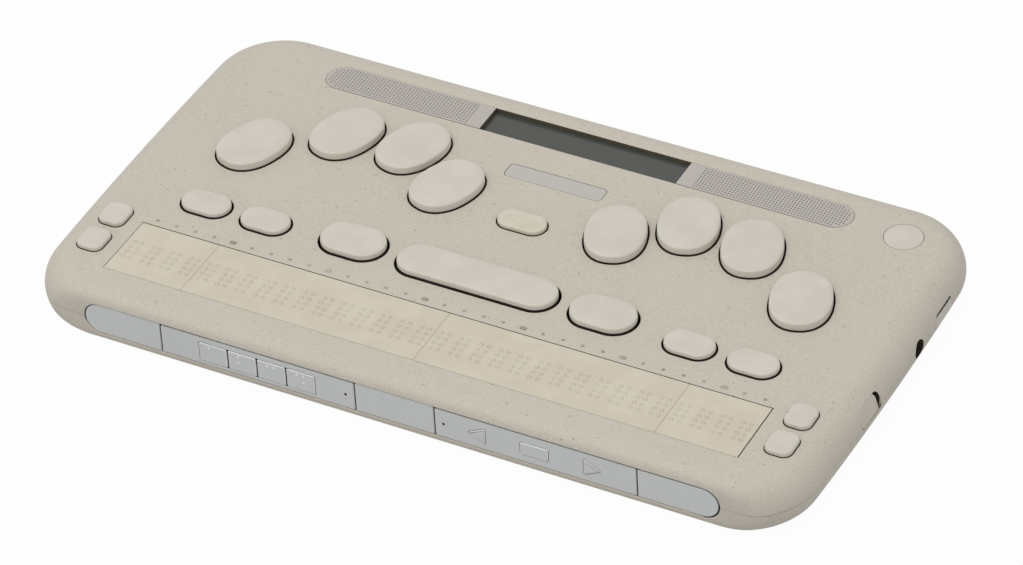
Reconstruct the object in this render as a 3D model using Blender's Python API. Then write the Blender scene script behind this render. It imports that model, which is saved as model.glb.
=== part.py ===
"""Braille notetaker: a slim keyboard computer with a 32-cell braille display.

Frame: metres, +X to the right, +Y to the back, +Z up. The origin is on the table, under the
middle of the casing. The front is the side with the metal strip.
"""
import math

import bmesh
import bpy
from mathutils import Vector

# Clearances and shared cuts
SEAT_GAP = 0.0003
CUT_OVERRUN = 0.0020

# Display window in the top: the cells set its length, and it sets the width of the casing
CELL_COUNT = 32
CELL_PITCH = 0.00642
WINDOW_END_MARGIN = 0.00058
WINDOW_DEPTH = 0.0234
MODULE_CELLS = (4, 12, 12, 4)
MODULE_TAIL = 0.0420
MODULE_TAIL_RISE = 0.0003

# Places along X, outwards from the display window
SCROLL_KEY_OFFSET = 0.0089
CASE_SIDE_MARGIN = 0.0137

# Places along Y, backwards from the flat front
WINDOW_FRONT_MARGIN = 0.0123
SPACE_ROW_SETBACK = 0.0167
FUNCTION_ROW_SETBACK = 0.0147
BAR_SETBACK = 0.06965
BAR_BACK_MARGIN = 0.01705

# Casing
CASE_HEIGHT = 0.0182
CORNER_RADIUS = 0.0224
SIDE_BOW = 0.0016
NOSE_REACH = 0.0032
NOSE_BLEND = 0.0023
WALL = 0.0018
FRONT_WALL = 0.0022
FOOT_STAND = 0.0007
SEAM_RISE = 0.0093
SEAM_GAP = 0.0003
CORNER_STEPS = 10
SIDE_STEPS = 6
EDGE_STEPS = 7
INNER_STEPS = 6

# Dot keys: places are shares of the window's half length and of the bar's setback
DOT_KEY_HALF_WIDTH = 0.00925
DOT_KEY_HALF_LENGTH = 0.0124
DOT_KEY_EXPONENT = 2.25
DOT_KEY_TURN = math.radians(18.0)
DOT_KEY_RISE = 0.0028
DOT_KEY_GAP = 0.0005
DOT_KEY_TRAVEL = 0.0012
DOT_KEY_COLUMN_SHARES = (0.2720, 0.4453, 0.6544, 0.8785)
DOT_KEY_ROW_SHARES = (0.4896, 0.6648, 0.6360, 0.4071)
DOT_KEY_STEPS = 28

# Space bar and the two keys beside it
SPACE_BAR_LENGTH = 0.0517
SPACE_BAR_DEPTH = 0.0132
SPACE_BAR_RISE = 0.0022
SPACE_BAR_GAP = 0.0008
SPACE_BAR_TRAVEL = 0.0012
MEDIUM_KEY_LENGTH = 0.0206
MEDIUM_KEY_DEPTH = 0.0137
MEDIUM_KEY_GAP = 0.00075
MEDIUM_KEY_SPACING = 0.0050

# Function keys, outwards from the medium keys
FUNCTION_KEY_LENGTH = 0.0157
FUNCTION_KEY_DEPTH = 0.0100
FUNCTION_KEY_RISE = 0.0018
FUNCTION_KEY_GAP = 0.0006
FUNCTION_KEY_TRAVEL = 0.0010
FUNCTION_KEY_FIRST_SPACING = 0.01045
FUNCTION_KEY_PITCH = 0.0202

# Power key in the middle
POWER_KEY_LENGTH = 0.0156
POWER_KEY_DEPTH = 0.0083
POWER_KEY_RISE = 0.0013
POWER_KEY_GAP = 0.0004
POWER_KEY_TRAVEL = 0.0006
POWER_KEY_SETBACK = 0.02855

# Scroll keys at both ends of the display
SCROLL_KEY_WIDTH = 0.0084
SCROLL_KEY_LENGTH = 0.0098
SCROLL_KEY_RADIUS = 0.0028
SCROLL_KEY_RISE = 0.0015
SCROLL_KEY_GAP = 0.00025
SCROLL_KEY_TRAVEL = 0.0008
SCROLL_KEY_SPREAD = 0.0127
SCROLL_KEY_BEHIND = 0.0046

# Parts of every key below the casing top
KEY_EDGE_ROUND = 0.0008
KEY_EDGE_STEPS = 2
KEY_TAB_THICKNESS = 0.0010
KEY_TAB_REACH = 0.0009
KEY_TAB_WIDTH = 0.0080
SCROLL_TAB_WIDTH = 0.0050
KEY_STEM_RADIUS = 0.0020
KEY_STEM_STEPS = 8
SWITCH_SIZE = 0.0040
SWITCH_RISE = 0.0008
ROUND_END_STEPS = 6

# Keyboard circuit board
KEY_BOARD_DROP = 0.0049
KEY_BOARD_THICKNESS = 0.0010
KEY_BOARD_SIDE_MARGIN = 0.0080
KEY_BOARD_BACK_MARGIN = 0.0083
KEY_BOARD_FRONT_MARGIN = 0.0030
KEY_BOARD_WING_MARGIN = 0.0020
KEY_BOARD_WING_REACH = 0.0195
KEY_BOARD_SHOULDER = 0.0080

# Bar with the speaker grilles and the screen
BAR_END_SETBACK = 0.0150
BAR_DEPTH = 0.0113
GRILLE_THICKNESS = 0.0020
GRILLE_SINK = 0.0001
GRILLE_FLANGE = 0.0005
GRILLE_FLANGE_REACH = 0.0012
SCREEN_LENGTH = 0.0656
SCREEN_SINK = 0.0016
SCREEN_BODY_DEPTH = 0.0032
SCREEN_BODY_MARGIN = 0.0044
SCREEN_BODY_REACH = 0.0012
SPEAKER_SCREEN_GAP = 0.0016
SPEAKER_END_GAP = 0.0055
SPEAKER_DEPTH = 0.0134
SPEAKER_HEIGHT = 0.0052
SPEAKER_RADIUS = 0.0050

# Name plate and corner disc, both let into the top
PLATE_LENGTH = 0.0322
PLATE_DEPTH = 0.0060
PLATE_RADIUS = 0.0014
PLATE_THICKNESS = 0.0006
PLATE_BACK_OFFSET = 0.01955
DISC_RADIUS = 0.0059
DISC_THICKNESS = 0.0006
DISC_SIDE_MARGIN = 0.0209
DISC_BACK_MARGIN = 0.0181
DISC_GAP = 0.0003
DISC_STEPS = 32

# Front strip: five lengths in one long slot
STRIP_HEIGHT = 0.0106
STRIP_SINK = 0.0002
STRIP_GAP = 0.0003
STRIP_FLANGE = 0.0010
STRIP_FLANGE_REACH = 0.0006
CENTRE_TRIM_LENGTH = 0.0259
END_TRIM_LENGTH = 0.0259
STRIP_END_STEPS = 8

# Application keys and media keys in the strip
APPLICATION_KEY_COUNT = 4
APPLICATION_KEY_WIDTH = 0.0093
APPLICATION_KEY_HEIGHT = 0.0067
APPLICATION_KEY_RADIUS = 0.0005
APPLICATION_KEY_SPLIT = 0.0004
APPLICATION_WINDOW_GAP = 0.0003
DIGIT_DOT_SPACING = 0.0022
DIGIT_DOT_RADIUS = 0.00048
DIGIT_DOT_RISE = 0.00025
DIGIT_DOT_STEPS = 8
DIGIT_DOT_SHARES = (((-0.5, 1),),
                    ((-0.5, 1), (-0.5, 0)),
                    ((-0.5, 1), (0.5, 1)),
                    ((-0.5, 1), (0.5, 1), (0.5, 0)))
STRIP_KEY_DROP = 0.0004
STRIP_KEY_RISE = 0.0003
STRIP_KEY_TRAVEL = 0.0006
STRIP_KEY_FLANGE = 0.0008
STRIP_KEY_FLANGE_REACH = 0.0008
STRIP_KEY_STEM_RADIUS = 0.0010
MEDIA_KEY_DROP = 0.0002
MEDIA_KEY_PITCH = 0.01845
MEDIA_KEY_SHIFT = 0.0002
PLAY_KEY_WIDTH = 0.0090
PLAY_KEY_HEIGHT = 0.0044
ARROW_KEY_WIDTH = 0.0056
ARROW_KEY_HEIGHT = 0.0057
MEDIA_KEY_RADIUS = 0.0008
INDICATOR_RADIUS = 0.00045
INDICATOR_MARGIN = 0.00285
INDICATOR_STEPS = 10

# Board behind the strip
FRONT_BOARD_STANDOFF = 0.0030
FRONT_BOARD_THICKNESS = 0.0010
FRONT_BOARD_HEIGHT = 0.0088
FRONT_BOARD_END_MARGIN = 0.0050
TRIM_BOSS_WIDTH = 0.0080
TRIM_BOSS_HEIGHT = 0.0060

# Ports in the right wall: places along Y are setbacks from the flat front
USB_SETBACK = 0.1040
USB_WIDTH = 0.0106
USB_HEIGHT = 0.0047
USB_CORNER = 0.0007
USB_SEAT = 0.0003
USB_SINK = 0.0006
USB_WALL = 0.0004
USB_BODY_LENGTH = 0.0085
USB_CAVITY = 0.0065
USB_BASE_WIDTH = 0.0074
USB_TONGUE_WIDTH = 0.0072
USB_TONGUE_THICKNESS = 0.0012
USB_TONGUE_RISE = 0.0005
USB_TONGUE_SINK = 0.0007
JACK_SETBACK = 0.0860
JACK_DROP = 0.0001
JACK_RADIUS = 0.0029
JACK_SINK = 0.0027
JACK_BODY_LENGTH = 0.0110
JACK_BODY_WIDTH = 0.0070
JACK_BODY_HEIGHT = 0.0058
JACK_BORE_RADIUS = 0.0018
JACK_BORE_LENGTH = 0.0090
ROUND_STEPS = 16

# Lock switch, a knob that slides in a recess of the right wall
LOCK_SETBACK = 0.0528
LOCK_RISE = 0.0023
LOCK_SLOT_LENGTH = 0.0124
LOCK_SLOT_HEIGHT = 0.0058
LOCK_CORNER = 0.0016
LOCK_STEPS = 4
LOCK_TRAVEL = 0.0015
LOCK_KNOB_SINK = 0.0004
LOCK_PLATE_REACH = 0.0008
LOCK_PLATE_THICKNESS = 0.0012

# Main board and battery, on the floor behind the display blocks
REAR_BAY_MARGIN = 0.0020
BOARD_STANDOFF = 0.0025
BOARD_THICKNESS = 0.0012
BOARD_POST_RADIUS = 0.0020
BOARD_POST_MARGIN = 0.0050
BOARD_SIDE_MARGIN = 0.0045
BOARD_BACK_MARGIN = 0.0195
BATTERY_LENGTH = 0.0820
BATTERY_BACK_MARGIN = 0.0135
BATTERY_HEIGHT = 0.0070
BATTERY_RADIUS = 0.0020
BATTERY_SIDE_MARGIN = 0.0235
BATTERY_BOARD_GAP = 0.0060

# Feet and casing screws; the margins run in from the sides, the front and the back
FOOT_RADIUS = 0.0060
FOOT_SEAT = 0.0005
FOOT_SIDE_MARGIN = 0.0255
FOOT_END_MARGIN = 0.0235
FOOT_STEPS = 28
SCREW_SIDE_MARGIN = 0.0175
SCREW_FRONT_MARGIN = 0.0110
SCREW_BACK_MARGIN = 0.0145
SCREW_RADIUS = 0.0010
SCREW_HEAD_RADIUS = 0.0022
SCREW_HEAD_HEIGHT = 0.0014
SCREW_HEAD_SINK = 0.0006
SCREW_LENGTH = 0.0110
SCREW_SLOT_WIDTH = 0.0006
SCREW_SLOT_DEPTH = 0.0007
BOSS_WALL = 0.0013
SCREW_STEPS = 14

# Worked out from the sizes above
WINDOW_LENGTH = CELL_COUNT * CELL_PITCH + 2 * WINDOW_END_MARGIN
WINDOW_HALF = WINDOW_LENGTH / 2
BAR_LENGTH = WINDOW_LENGTH - 2 * BAR_END_SETBACK
CASE_WIDTH = WINDOW_LENGTH + 2 * (SCROLL_KEY_OFFSET + CASE_SIDE_MARGIN)
CASE_DEPTH = (WINDOW_FRONT_MARGIN + WINDOW_DEPTH + SPACE_ROW_SETBACK + BAR_SETBACK
              + BAR_BACK_MARGIN)
SIDE = CASE_WIDTH / 2
FRONT = -CASE_DEPTH / 2
BACK = CASE_DEPTH / 2
EDGE_RADIUS = CASE_HEIGHT / 2
MIDDLE_HEIGHT = FOOT_STAND + EDGE_RADIUS
TOP = FOOT_STAND + CASE_HEIGHT
CEILING = TOP - WALL
FLOOR = FOOT_STAND + WALL
SEAM_HEIGHT = FOOT_STAND + SEAM_RISE
WINDOW_FRONT = FRONT + WINDOW_FRONT_MARGIN
WINDOW_BACK = WINDOW_FRONT + WINDOW_DEPTH
SPACE_ROW = WINDOW_BACK + SPACE_ROW_SETBACK
FUNCTION_ROW = WINDOW_BACK + FUNCTION_ROW_SETBACK
BAR_LINE = SPACE_ROW + BAR_SETBACK
KEY_TAB_TOP = CEILING - SEAT_GAP
KEY_BOARD_TOP = CEILING - KEY_BOARD_DROP
SWITCH_TOP = KEY_BOARD_TOP + SWITCH_RISE
STRIP_FACE = FRONT + STRIP_SINK
STRIP_BACK = FRONT + FRONT_WALL + SEAT_GAP
FLANGE_BACK = STRIP_BACK + STRIP_FLANGE
FRONT_BOARD_FACE = FLANGE_BACK + FRONT_BOARD_STANDOFF
STRIP_KEY_HEIGHT = SEAM_HEIGHT - STRIP_KEY_DROP
MEDIA_KEY_HEIGHT = SEAM_HEIGHT - MEDIA_KEY_DROP
PANEL_FAR = WINDOW_HALF - END_TRIM_LENGTH
PANEL_NEAR = CENTRE_TRIM_LENGTH / 2
PANEL_MIDDLE = (PANEL_FAR + PANEL_NEAR) / 2
BAY_FRONT = WINDOW_BACK + MODULE_TAIL + REAR_BAY_MARGIN
BOARD_BACK = BACK - BOARD_BACK_MARGIN
BOARD_TOP = FLOOR + BOARD_STANDOFF + SEAT_GAP + BOARD_THICKNESS
BOARD_RIGHT = SIDE - BOARD_SIDE_MARGIN
BATTERY_LEFT = -SIDE + BATTERY_SIDE_MARGIN
BOARD_LEFT = BATTERY_LEFT + BATTERY_LENGTH + BATTERY_BOARD_GAP
SCREW_HEAD_BOTTOM = FOOT_STAND + SCREW_HEAD_SINK
SCREW_SEAT = SCREW_HEAD_BOTTOM + SCREW_HEAD_HEIGHT + SEAT_GAP
SCREW_WELL_RADIUS = SCREW_HEAD_RADIUS + SEAT_GAP
SCREW_HOLE_RADIUS = SCREW_RADIUS + SEAT_GAP


def clear_scene():
    for old in list(bpy.data.objects):
        bpy.data.objects.remove(old, do_unlink=True)


def linear(value):
    return value / 12.92 if value <= 0.04045 else ((value + 0.055) / 1.055) ** 2.4


def make_material(name, hex_colour, roughness, metallic=0.0):
    material = bpy.data.materials.new(name)
    material.use_nodes = True
    shader = material.node_tree.nodes["Principled BSDF"]
    channels = [linear(int(hex_colour[i:i + 2], 16) / 255) for i in (0, 2, 4)]
    shader.inputs["Base Color"].default_value = (*channels, 1.0)
    shader.inputs["Roughness"].default_value = roughness
    shader.inputs["Metallic"].default_value = metallic
    return material


def make_materials():
    return {
        "casing": make_material("casing_plastic", "C6BFB2", 0.62),
        "key": make_material("key_plastic", "CDC8BC", 0.55),
        "pill": make_material("power_key_plastic", "CDC7B4", 0.55),
        "cap": make_material("display_cap_plastic", "CFC8B2", 0.5),
        "strip": make_material("satin_metal", "A9ADAE", 0.42, 0.6),
        "screen": make_material("screen_glass", "4C504E", 0.15),
        "board": make_material("circuit_board", "2C5F41", 0.5),
        "battery": make_material("battery_wrap", "3B3F47", 0.5),
        "speaker": make_material("speaker_plastic", "2A2A2B", 0.6),
        "socket": make_material("socket_metal", "9A9C9D", 0.35, 0.9),
        "jack": make_material("jack_plastic", "1E1E1F", 0.5),
        "foot": make_material("foot_rubber", "3A3936", 0.85),
        "screw": make_material("screw_steel", "7C7E80", 0.35, 0.9),
    }


def rounded_rectangle(width, depth, radius, steps):
    """Points of a rectangle with round corners, anticlockwise from the right side."""
    points = []
    for sign_x, sign_y, start in ((1, 1, 0), (-1, 1, 90), (-1, -1, 180), (1, -1, 270)):
        for step in range(steps + 1):
            angle = math.radians(start + 90 * step / steps)
            points.append((sign_x * (width / 2 - radius) + radius * math.cos(angle),
                           sign_y * (depth / 2 - radius) + radius * math.sin(angle)))
    return points


def round_ended(length, depth, steps):
    """Points of a bar with two half-circle ends; the straight sides join the ends."""
    points = []
    radius = min(length, depth) / 2
    reach_x = length / 2 - radius
    reach_y = depth / 2 - radius
    for start, sign in ((-90, 1), (90, -1)):
        turn = 0 if length >= depth else 90
        for step in range(2 * steps + 1):
            angle = math.radians(start + turn + 180 * step / (2 * steps))
            points.append((sign * reach_x + radius * math.cos(angle),
                           sign * reach_y + radius * math.sin(angle)))
    return points


def circle(radius, steps):
    return [(radius * math.cos(2 * math.pi * step / steps),
             radius * math.sin(2 * math.pi * step / steps)) for step in range(steps)]


def superellipse(half_width, half_length, turn, steps):
    """Points of a fat oval, turned anticlockwise about its middle."""
    points = []
    power = 2 / DOT_KEY_EXPONENT
    for step in range(steps):
        angle = 2 * math.pi * step / steps
        cosine = math.cos(angle)
        sine = math.sin(angle)
        x = half_width * math.copysign(abs(cosine) ** power, cosine)
        y = half_length * math.copysign(abs(sine) ** power, sine)
        points.append((x * math.cos(turn) - y * math.sin(turn),
                       x * math.sin(turn) + y * math.cos(turn)))
    return points


def rounded_polygon(corners, radius, steps):
    """Points of a convex polygon, anticlockwise, with an arc at each corner."""
    points = []
    count = len(corners)
    for index, corner in enumerate(corners):
        here = Vector(corner)
        before = (Vector(corners[index - 1]) - here).normalized()
        after = (Vector(corners[(index + 1) % count]) - here).normalized()
        half = before.angle(after) / 2
        centre = here + (before + after).normalized() * radius / math.sin(half)
        first = centre.to_tuple()
        start = here + before * radius / math.tan(half)
        end = here + after * radius / math.tan(half)
        angle_a = math.atan2(start.y - first[1], start.x - first[0])
        angle_b = math.atan2(end.y - first[1], end.x - first[0])
        while angle_b < angle_a:
            angle_b += 2 * math.pi
        for step in range(steps + 1):
            angle = angle_a + (angle_b - angle_a) * step / steps
            points.append((first[0] + radius * math.cos(angle), first[1] + radius * math.sin(angle)))
    return points


def shifted(points, x, y):
    return [(point[0] + x, point[1] + y) for point in points]


def rotated(points, turn):
    cosine = math.cos(turn)
    sine = math.sin(turn)
    return [(x * cosine - y * sine, x * sine + y * cosine) for x, y in points]


def upright(points, height):
    """An outline laid flat at a height."""
    return [Vector((x, y, height)) for x, y in points]


def facing_front(points, depth):
    """An outline of the front view (X, Z), stood up at a place along Y."""
    return [Vector((x, depth, z)) for x, z in points]


def facing_side(points, reach):
    """An outline of the right view (Y, Z), stood up at a place along X."""
    return [Vector((reach, y, z)) for y, z in points]


def loft(mesh, rings):
    """Joins rings of equal count with quads and closes both ends."""
    rows = [[mesh.verts.new(point) for point in ring] for ring in rings]
    count = len(rows[0])
    for low, high in zip(rows, rows[1:]):
        for index in range(count):
            following = (index + 1) % count
            mesh.faces.new((low[index], low[following], high[following], high[index]))
    mesh.faces.new(list(reversed(rows[0])))
    mesh.faces.new(rows[-1])


def new_mesh(*stacks):
    """A bmesh of one or more closed lofts, all facing outwards."""
    mesh = bmesh.new()
    for rings in stacks:
        loft(mesh, rings)
    bmesh.ops.recalc_face_normals(mesh, faces=mesh.faces)
    return mesh


def make_object(name, mesh, material=None, place=(0, 0, 0)):
    data = bpy.data.meshes.new(name)
    mesh.to_mesh(data)
    mesh.free()
    piece = bpy.data.objects.new(name, data)
    bpy.context.collection.objects.link(piece)
    piece.location = place
    if material is not None:
        data.materials.append(material)
    return piece


def smooth(piece):
    piece.data.shade_smooth()
    piece.data.set_sharp_from_angle(angle=math.radians(40))


def combine(piece, tool_mesh, operation):
    """Joins or cuts a piece with a closed mesh in the piece's own frame, and keeps the result."""
    tool = make_object(piece.name + "_tool", tool_mesh, place=piece.location)
    step = piece.modifiers.new("combine", "BOOLEAN")
    step.operation = operation
    step.solver = "EXACT"
    step.use_self = True
    step.object = tool
    bpy.context.view_layer.update()
    graph = bpy.context.evaluated_depsgraph_get()
    result = bpy.data.meshes.new_from_object(piece.evaluated_get(graph))
    piece.modifiers.remove(step)
    piece.data = result
    bpy.data.objects.remove(tool, do_unlink=True)


def prism(outline, low, high):
    return [upright(outline, low), upright(outline, high)]


def front_prism(outline, near, far):
    return [facing_front(outline, far), facing_front(outline, near)]


def side_prism(outline, near, far):
    return [facing_side(outline, near), facing_side(outline, far)]


def box(width, depth, low, high, x=0, y=0):
    corners = [(-width / 2, -depth / 2), (width / 2, -depth / 2),
               (width / 2, depth / 2), (-width / 2, depth / 2)]
    return prism(shifted(corners, x, y), low, high)


def flattened(y, front_limit, blend):
    """A place along Y moved behind the flat front; within the blend it eases into the plane."""
    behind = y - front_limit
    if blend > 0 and abs(behind) < blend:
        return front_limit + (behind + blend) ** 2 / (4 * blend)
    return max(y, front_limit)


def bowed(x, y):
    """A place along X moved in with the distance from the middle, so the sides bow out."""
    return x * (1 - SIDE_BOW / SIDE * (y / BACK) ** 2)


def with_side_points(plan):
    """The casing plan with more points along its two straight sides."""
    points = []
    for index, here in enumerate(plan):
        following = plan[(index + 1) % len(plan)]
        points.append(here)
        if abs(here[0] - following[0]) < SEAT_GAP and abs(here[1] - following[1]) > CORNER_RADIUS:
            for step in range(1, SIDE_STEPS):
                points.append((here[0], here[1] + (following[1] - here[1]) * step / SIDE_STEPS))
    return points


def casing_ring(inset, height, front_limit, blend):
    """One level of the casing: a round-cornered plan with bowed sides and a flattened front."""
    length = CASE_DEPTH + NOSE_REACH
    plan = rounded_rectangle(CASE_WIDTH - 2 * inset, length - 2 * inset,
                             CORNER_RADIUS - inset, CORNER_STEPS)
    ring = []
    for x, y in with_side_points(shifted(plan, 0, BACK - length / 2)):
        ring.append(Vector((bowed(x, y), flattened(y, front_limit, blend), height)))
    return ring


def edge_rings(radius, wall, front_limit, blend, rim, direction, steps):
    """Levels of a round edge from the seam to the flat top (1) or bottom (-1)."""
    rings = []
    start = math.asin((rim - MIDDLE_HEIGHT) / radius * direction)
    for step in range(steps + 1):
        angle = start + (math.pi / 2 - start) * step / steps
        inset = wall + radius * (1 - math.cos(angle))
        rings.append(casing_ring(inset, MIDDLE_HEIGHT + direction * radius * math.sin(angle),
                                 front_limit, blend))
    return rings


def shell_mesh(direction):
    """A casing half: in along the inner wall, across the rim and out along the outer wall."""
    rim = SEAM_HEIGHT + direction * SEAM_GAP / 2
    inner = edge_rings(EDGE_RADIUS - WALL, WALL, FRONT + FRONT_WALL, 0, rim, direction,
                       INNER_STEPS)
    outer = edge_rings(EDGE_RADIUS, 0, FRONT, NOSE_BLEND, rim, direction, EDGE_STEPS)
    return new_mesh(list(reversed(inner)) + outer)


def wall_reach(height, radius):
    """How far out the round side wall, or its inside, reaches at a height."""
    return SIDE - EDGE_RADIUS + math.sqrt(radius ** 2 - (height - MIDDLE_HEIGHT) ** 2)


def wall_cutters():
    """The long slot for the strip and the three ports, cut through both casing halves."""
    strip = shifted(round_ended(WINDOW_LENGTH, STRIP_HEIGHT, STRIP_END_STEPS), 0, SEAM_HEIGHT)
    usb = shifted(rounded_rectangle(USB_WIDTH, USB_HEIGHT, USB_CORNER, 3),
                  FRONT + USB_SETBACK, SEAM_HEIGHT)
    jack = shifted(circle(JACK_RADIUS, ROUND_STEPS), FRONT + JACK_SETBACK, SEAM_HEIGHT - JACK_DROP)
    inside = SIDE - WALL - CUT_OVERRUN
    outside = SIDE + CUT_OVERRUN
    lock = shifted(rounded_rectangle(LOCK_SLOT_LENGTH, LOCK_SLOT_HEIGHT, LOCK_CORNER, LOCK_STEPS),
                   FRONT + LOCK_SETBACK, SEAM_HEIGHT + LOCK_RISE)
    return new_mesh(front_prism(strip, FRONT - CUT_OVERRUN, FRONT + FRONT_WALL + CUT_OVERRUN),
                    side_prism(usb, inside, outside),
                    side_prism(jack, inside, outside),
                    side_prism(lock, inside - CUT_OVERRUN, outside))


def screw_places():
    places = []
    for sign_x in (-1, 1):
        x = sign_x * (SIDE - SCREW_SIDE_MARGIN)
        places.append((x, FRONT + SCREW_FRONT_MARGIN))
        places.append((x, BACK - SCREW_BACK_MARGIN))
    return places


def foot_places():
    x = SIDE - FOOT_SIDE_MARGIN
    y = BACK - FOOT_END_MARGIN
    return {"front_left": (-x, -y), "front_right": (x, -y), "back_left": (-x, y), "back_right": (x, y)}


def dot_key_outline(side, grow):
    return superellipse(DOT_KEY_HALF_WIDTH + grow, DOT_KEY_HALF_LENGTH + grow,
                        side * DOT_KEY_TURN, DOT_KEY_STEPS)


def bar_key_outline(length, depth):
    def outline(grow):
        return round_ended(length + 2 * grow, depth + 2 * grow, ROUND_END_STEPS)
    return outline


def scroll_key_outline(grow):
    return rounded_rectangle(SCROLL_KEY_WIDTH + 2 * grow, SCROLL_KEY_LENGTH + 2 * grow,
                             SCROLL_KEY_RADIUS + grow, ROUND_END_STEPS - 2)


def key_plan():
    """Every key of the top: its place, outline, rise, gap, travel and retaining tab."""
    keys = {}
    for index in range(8):
        side = -1 if index < 4 else 1
        slot = 3 - index if index < 4 else index - 4
        keys[f"dot_key_{index + 1}"] = {
            "place": (side * DOT_KEY_COLUMN_SHARES[slot] * WINDOW_HALF,
                      SPACE_ROW + DOT_KEY_ROW_SHARES[slot] * BAR_SETBACK),
            "outline": lambda grow, side=side: dot_key_outline(side, grow),
            "rise": DOT_KEY_RISE, "gap": DOT_KEY_GAP, "travel": DOT_KEY_TRAVEL,
            "tab": (KEY_TAB_WIDTH, 2 * (DOT_KEY_HALF_LENGTH + DOT_KEY_GAP + KEY_TAB_REACH)),
            "turn": side * DOT_KEY_TURN, "kind": "key"}
    keys["space_bar"] = {
        "place": (0, SPACE_ROW), "outline": bar_key_outline(SPACE_BAR_LENGTH, SPACE_BAR_DEPTH),
        "rise": SPACE_BAR_RISE, "gap": SPACE_BAR_GAP, "travel": SPACE_BAR_TRAVEL,
        "tab": (SPACE_BAR_LENGTH - SPACE_BAR_DEPTH,
                SPACE_BAR_DEPTH + 2 * (SPACE_BAR_GAP + KEY_TAB_REACH)),
        "turn": 0, "kind": "key"}
    medium_x = SPACE_BAR_LENGTH / 2 + MEDIUM_KEY_SPACING + MEDIUM_KEY_LENGTH / 2
    for name, side in (("control_key", -1), ("alt_key", 1)):
        keys[name] = {
            "place": (side * medium_x, SPACE_ROW),
            "outline": bar_key_outline(MEDIUM_KEY_LENGTH, MEDIUM_KEY_DEPTH),
            "rise": SPACE_BAR_RISE, "gap": MEDIUM_KEY_GAP, "travel": SPACE_BAR_TRAVEL,
            "tab": (KEY_TAB_WIDTH, MEDIUM_KEY_DEPTH + 2 * (MEDIUM_KEY_GAP + KEY_TAB_REACH)),
            "turn": 0, "kind": "key"}
    near_x = medium_x + MEDIUM_KEY_LENGTH / 2 + FUNCTION_KEY_FIRST_SPACING + FUNCTION_KEY_LENGTH / 2
    far_x = near_x + FUNCTION_KEY_PITCH
    for number, x in enumerate((-far_x, -near_x, near_x, far_x), start=1):
        keys[f"function_key_{number}"] = {
            "place": (x, FUNCTION_ROW),
            "outline": bar_key_outline(FUNCTION_KEY_LENGTH, FUNCTION_KEY_DEPTH),
            "rise": FUNCTION_KEY_RISE, "gap": FUNCTION_KEY_GAP, "travel": FUNCTION_KEY_TRAVEL,
            "tab": (SCROLL_TAB_WIDTH, FUNCTION_KEY_DEPTH + 2 * (FUNCTION_KEY_GAP + KEY_TAB_REACH)),
            "turn": 0, "kind": "key"}
    keys["power_key"] = {
        "place": (0, SPACE_ROW + POWER_KEY_SETBACK),
        "outline": bar_key_outline(POWER_KEY_LENGTH, POWER_KEY_DEPTH),
        "rise": POWER_KEY_RISE, "gap": POWER_KEY_GAP, "travel": POWER_KEY_TRAVEL,
        "tab": (SCROLL_TAB_WIDTH, POWER_KEY_DEPTH + 2 * (POWER_KEY_GAP + KEY_TAB_REACH)),
        "turn": 0, "kind": "pill"}
    middle = (WINDOW_FRONT + WINDOW_BACK) / 2 + SCROLL_KEY_BEHIND
    for side, word in ((-1, "left"), (1, "right")):
        for end, direction in ((1, "up"), (-1, "down")):
            keys[f"scroll_key_{word}_{direction}"] = {
                "place": (side * (WINDOW_HALF + SCROLL_KEY_OFFSET),
                          middle + end * SCROLL_KEY_SPREAD / 2),
                "outline": scroll_key_outline,
                "rise": SCROLL_KEY_RISE, "gap": SCROLL_KEY_GAP, "travel": SCROLL_KEY_TRAVEL,
                "tab": (SCROLL_KEY_WIDTH + 2 * (SCROLL_KEY_GAP + KEY_TAB_REACH), SCROLL_TAB_WIDTH),
                "turn": 0, "kind": "key"}
    return keys


def key_rings(key):
    """Levels of a key cap, from its underside to its rounded top edge."""
    low = KEY_TAB_TOP - KEY_TAB_THICKNESS - TOP
    high = key["rise"]
    rings = [upright(key["outline"](0), low)]
    for step in range(KEY_EDGE_STEPS + 1):
        angle = math.pi / 2 * step / KEY_EDGE_STEPS
        inset = KEY_EDGE_ROUND * (1 - math.cos(angle))
        rings.append(upright(key["outline"](-inset),
                             high - KEY_EDGE_ROUND + KEY_EDGE_ROUND * math.sin(angle)))
    return rings


def build_key(name, key, materials):
    """A cap with a tab under the casing top and a stem above its tact switch."""
    x, y = key["place"]
    piece = make_object(name, new_mesh(key_rings(key)), materials[key["kind"]], (x, y, TOP))
    low = KEY_TAB_TOP - KEY_TAB_THICKNESS - TOP
    stem_end = SWITCH_TOP + key["travel"] + SEAT_GAP - TOP
    width, length = key["tab"]
    half_x = width / 2
    half_y = length / 2
    tab = rotated([(-half_x, -half_y), (half_x, -half_y), (half_x, half_y), (-half_x, half_y)],
                  key["turn"])
    combine(piece, new_mesh(prism(tab, low, KEY_TAB_TOP - TOP)), "UNION")
    combine(piece, new_mesh(prism(circle(KEY_STEM_RADIUS, KEY_STEM_STEPS), stem_end,
                                  low + KEY_TAB_THICKNESS / 2)), "UNION")
    smooth(piece)


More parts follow.
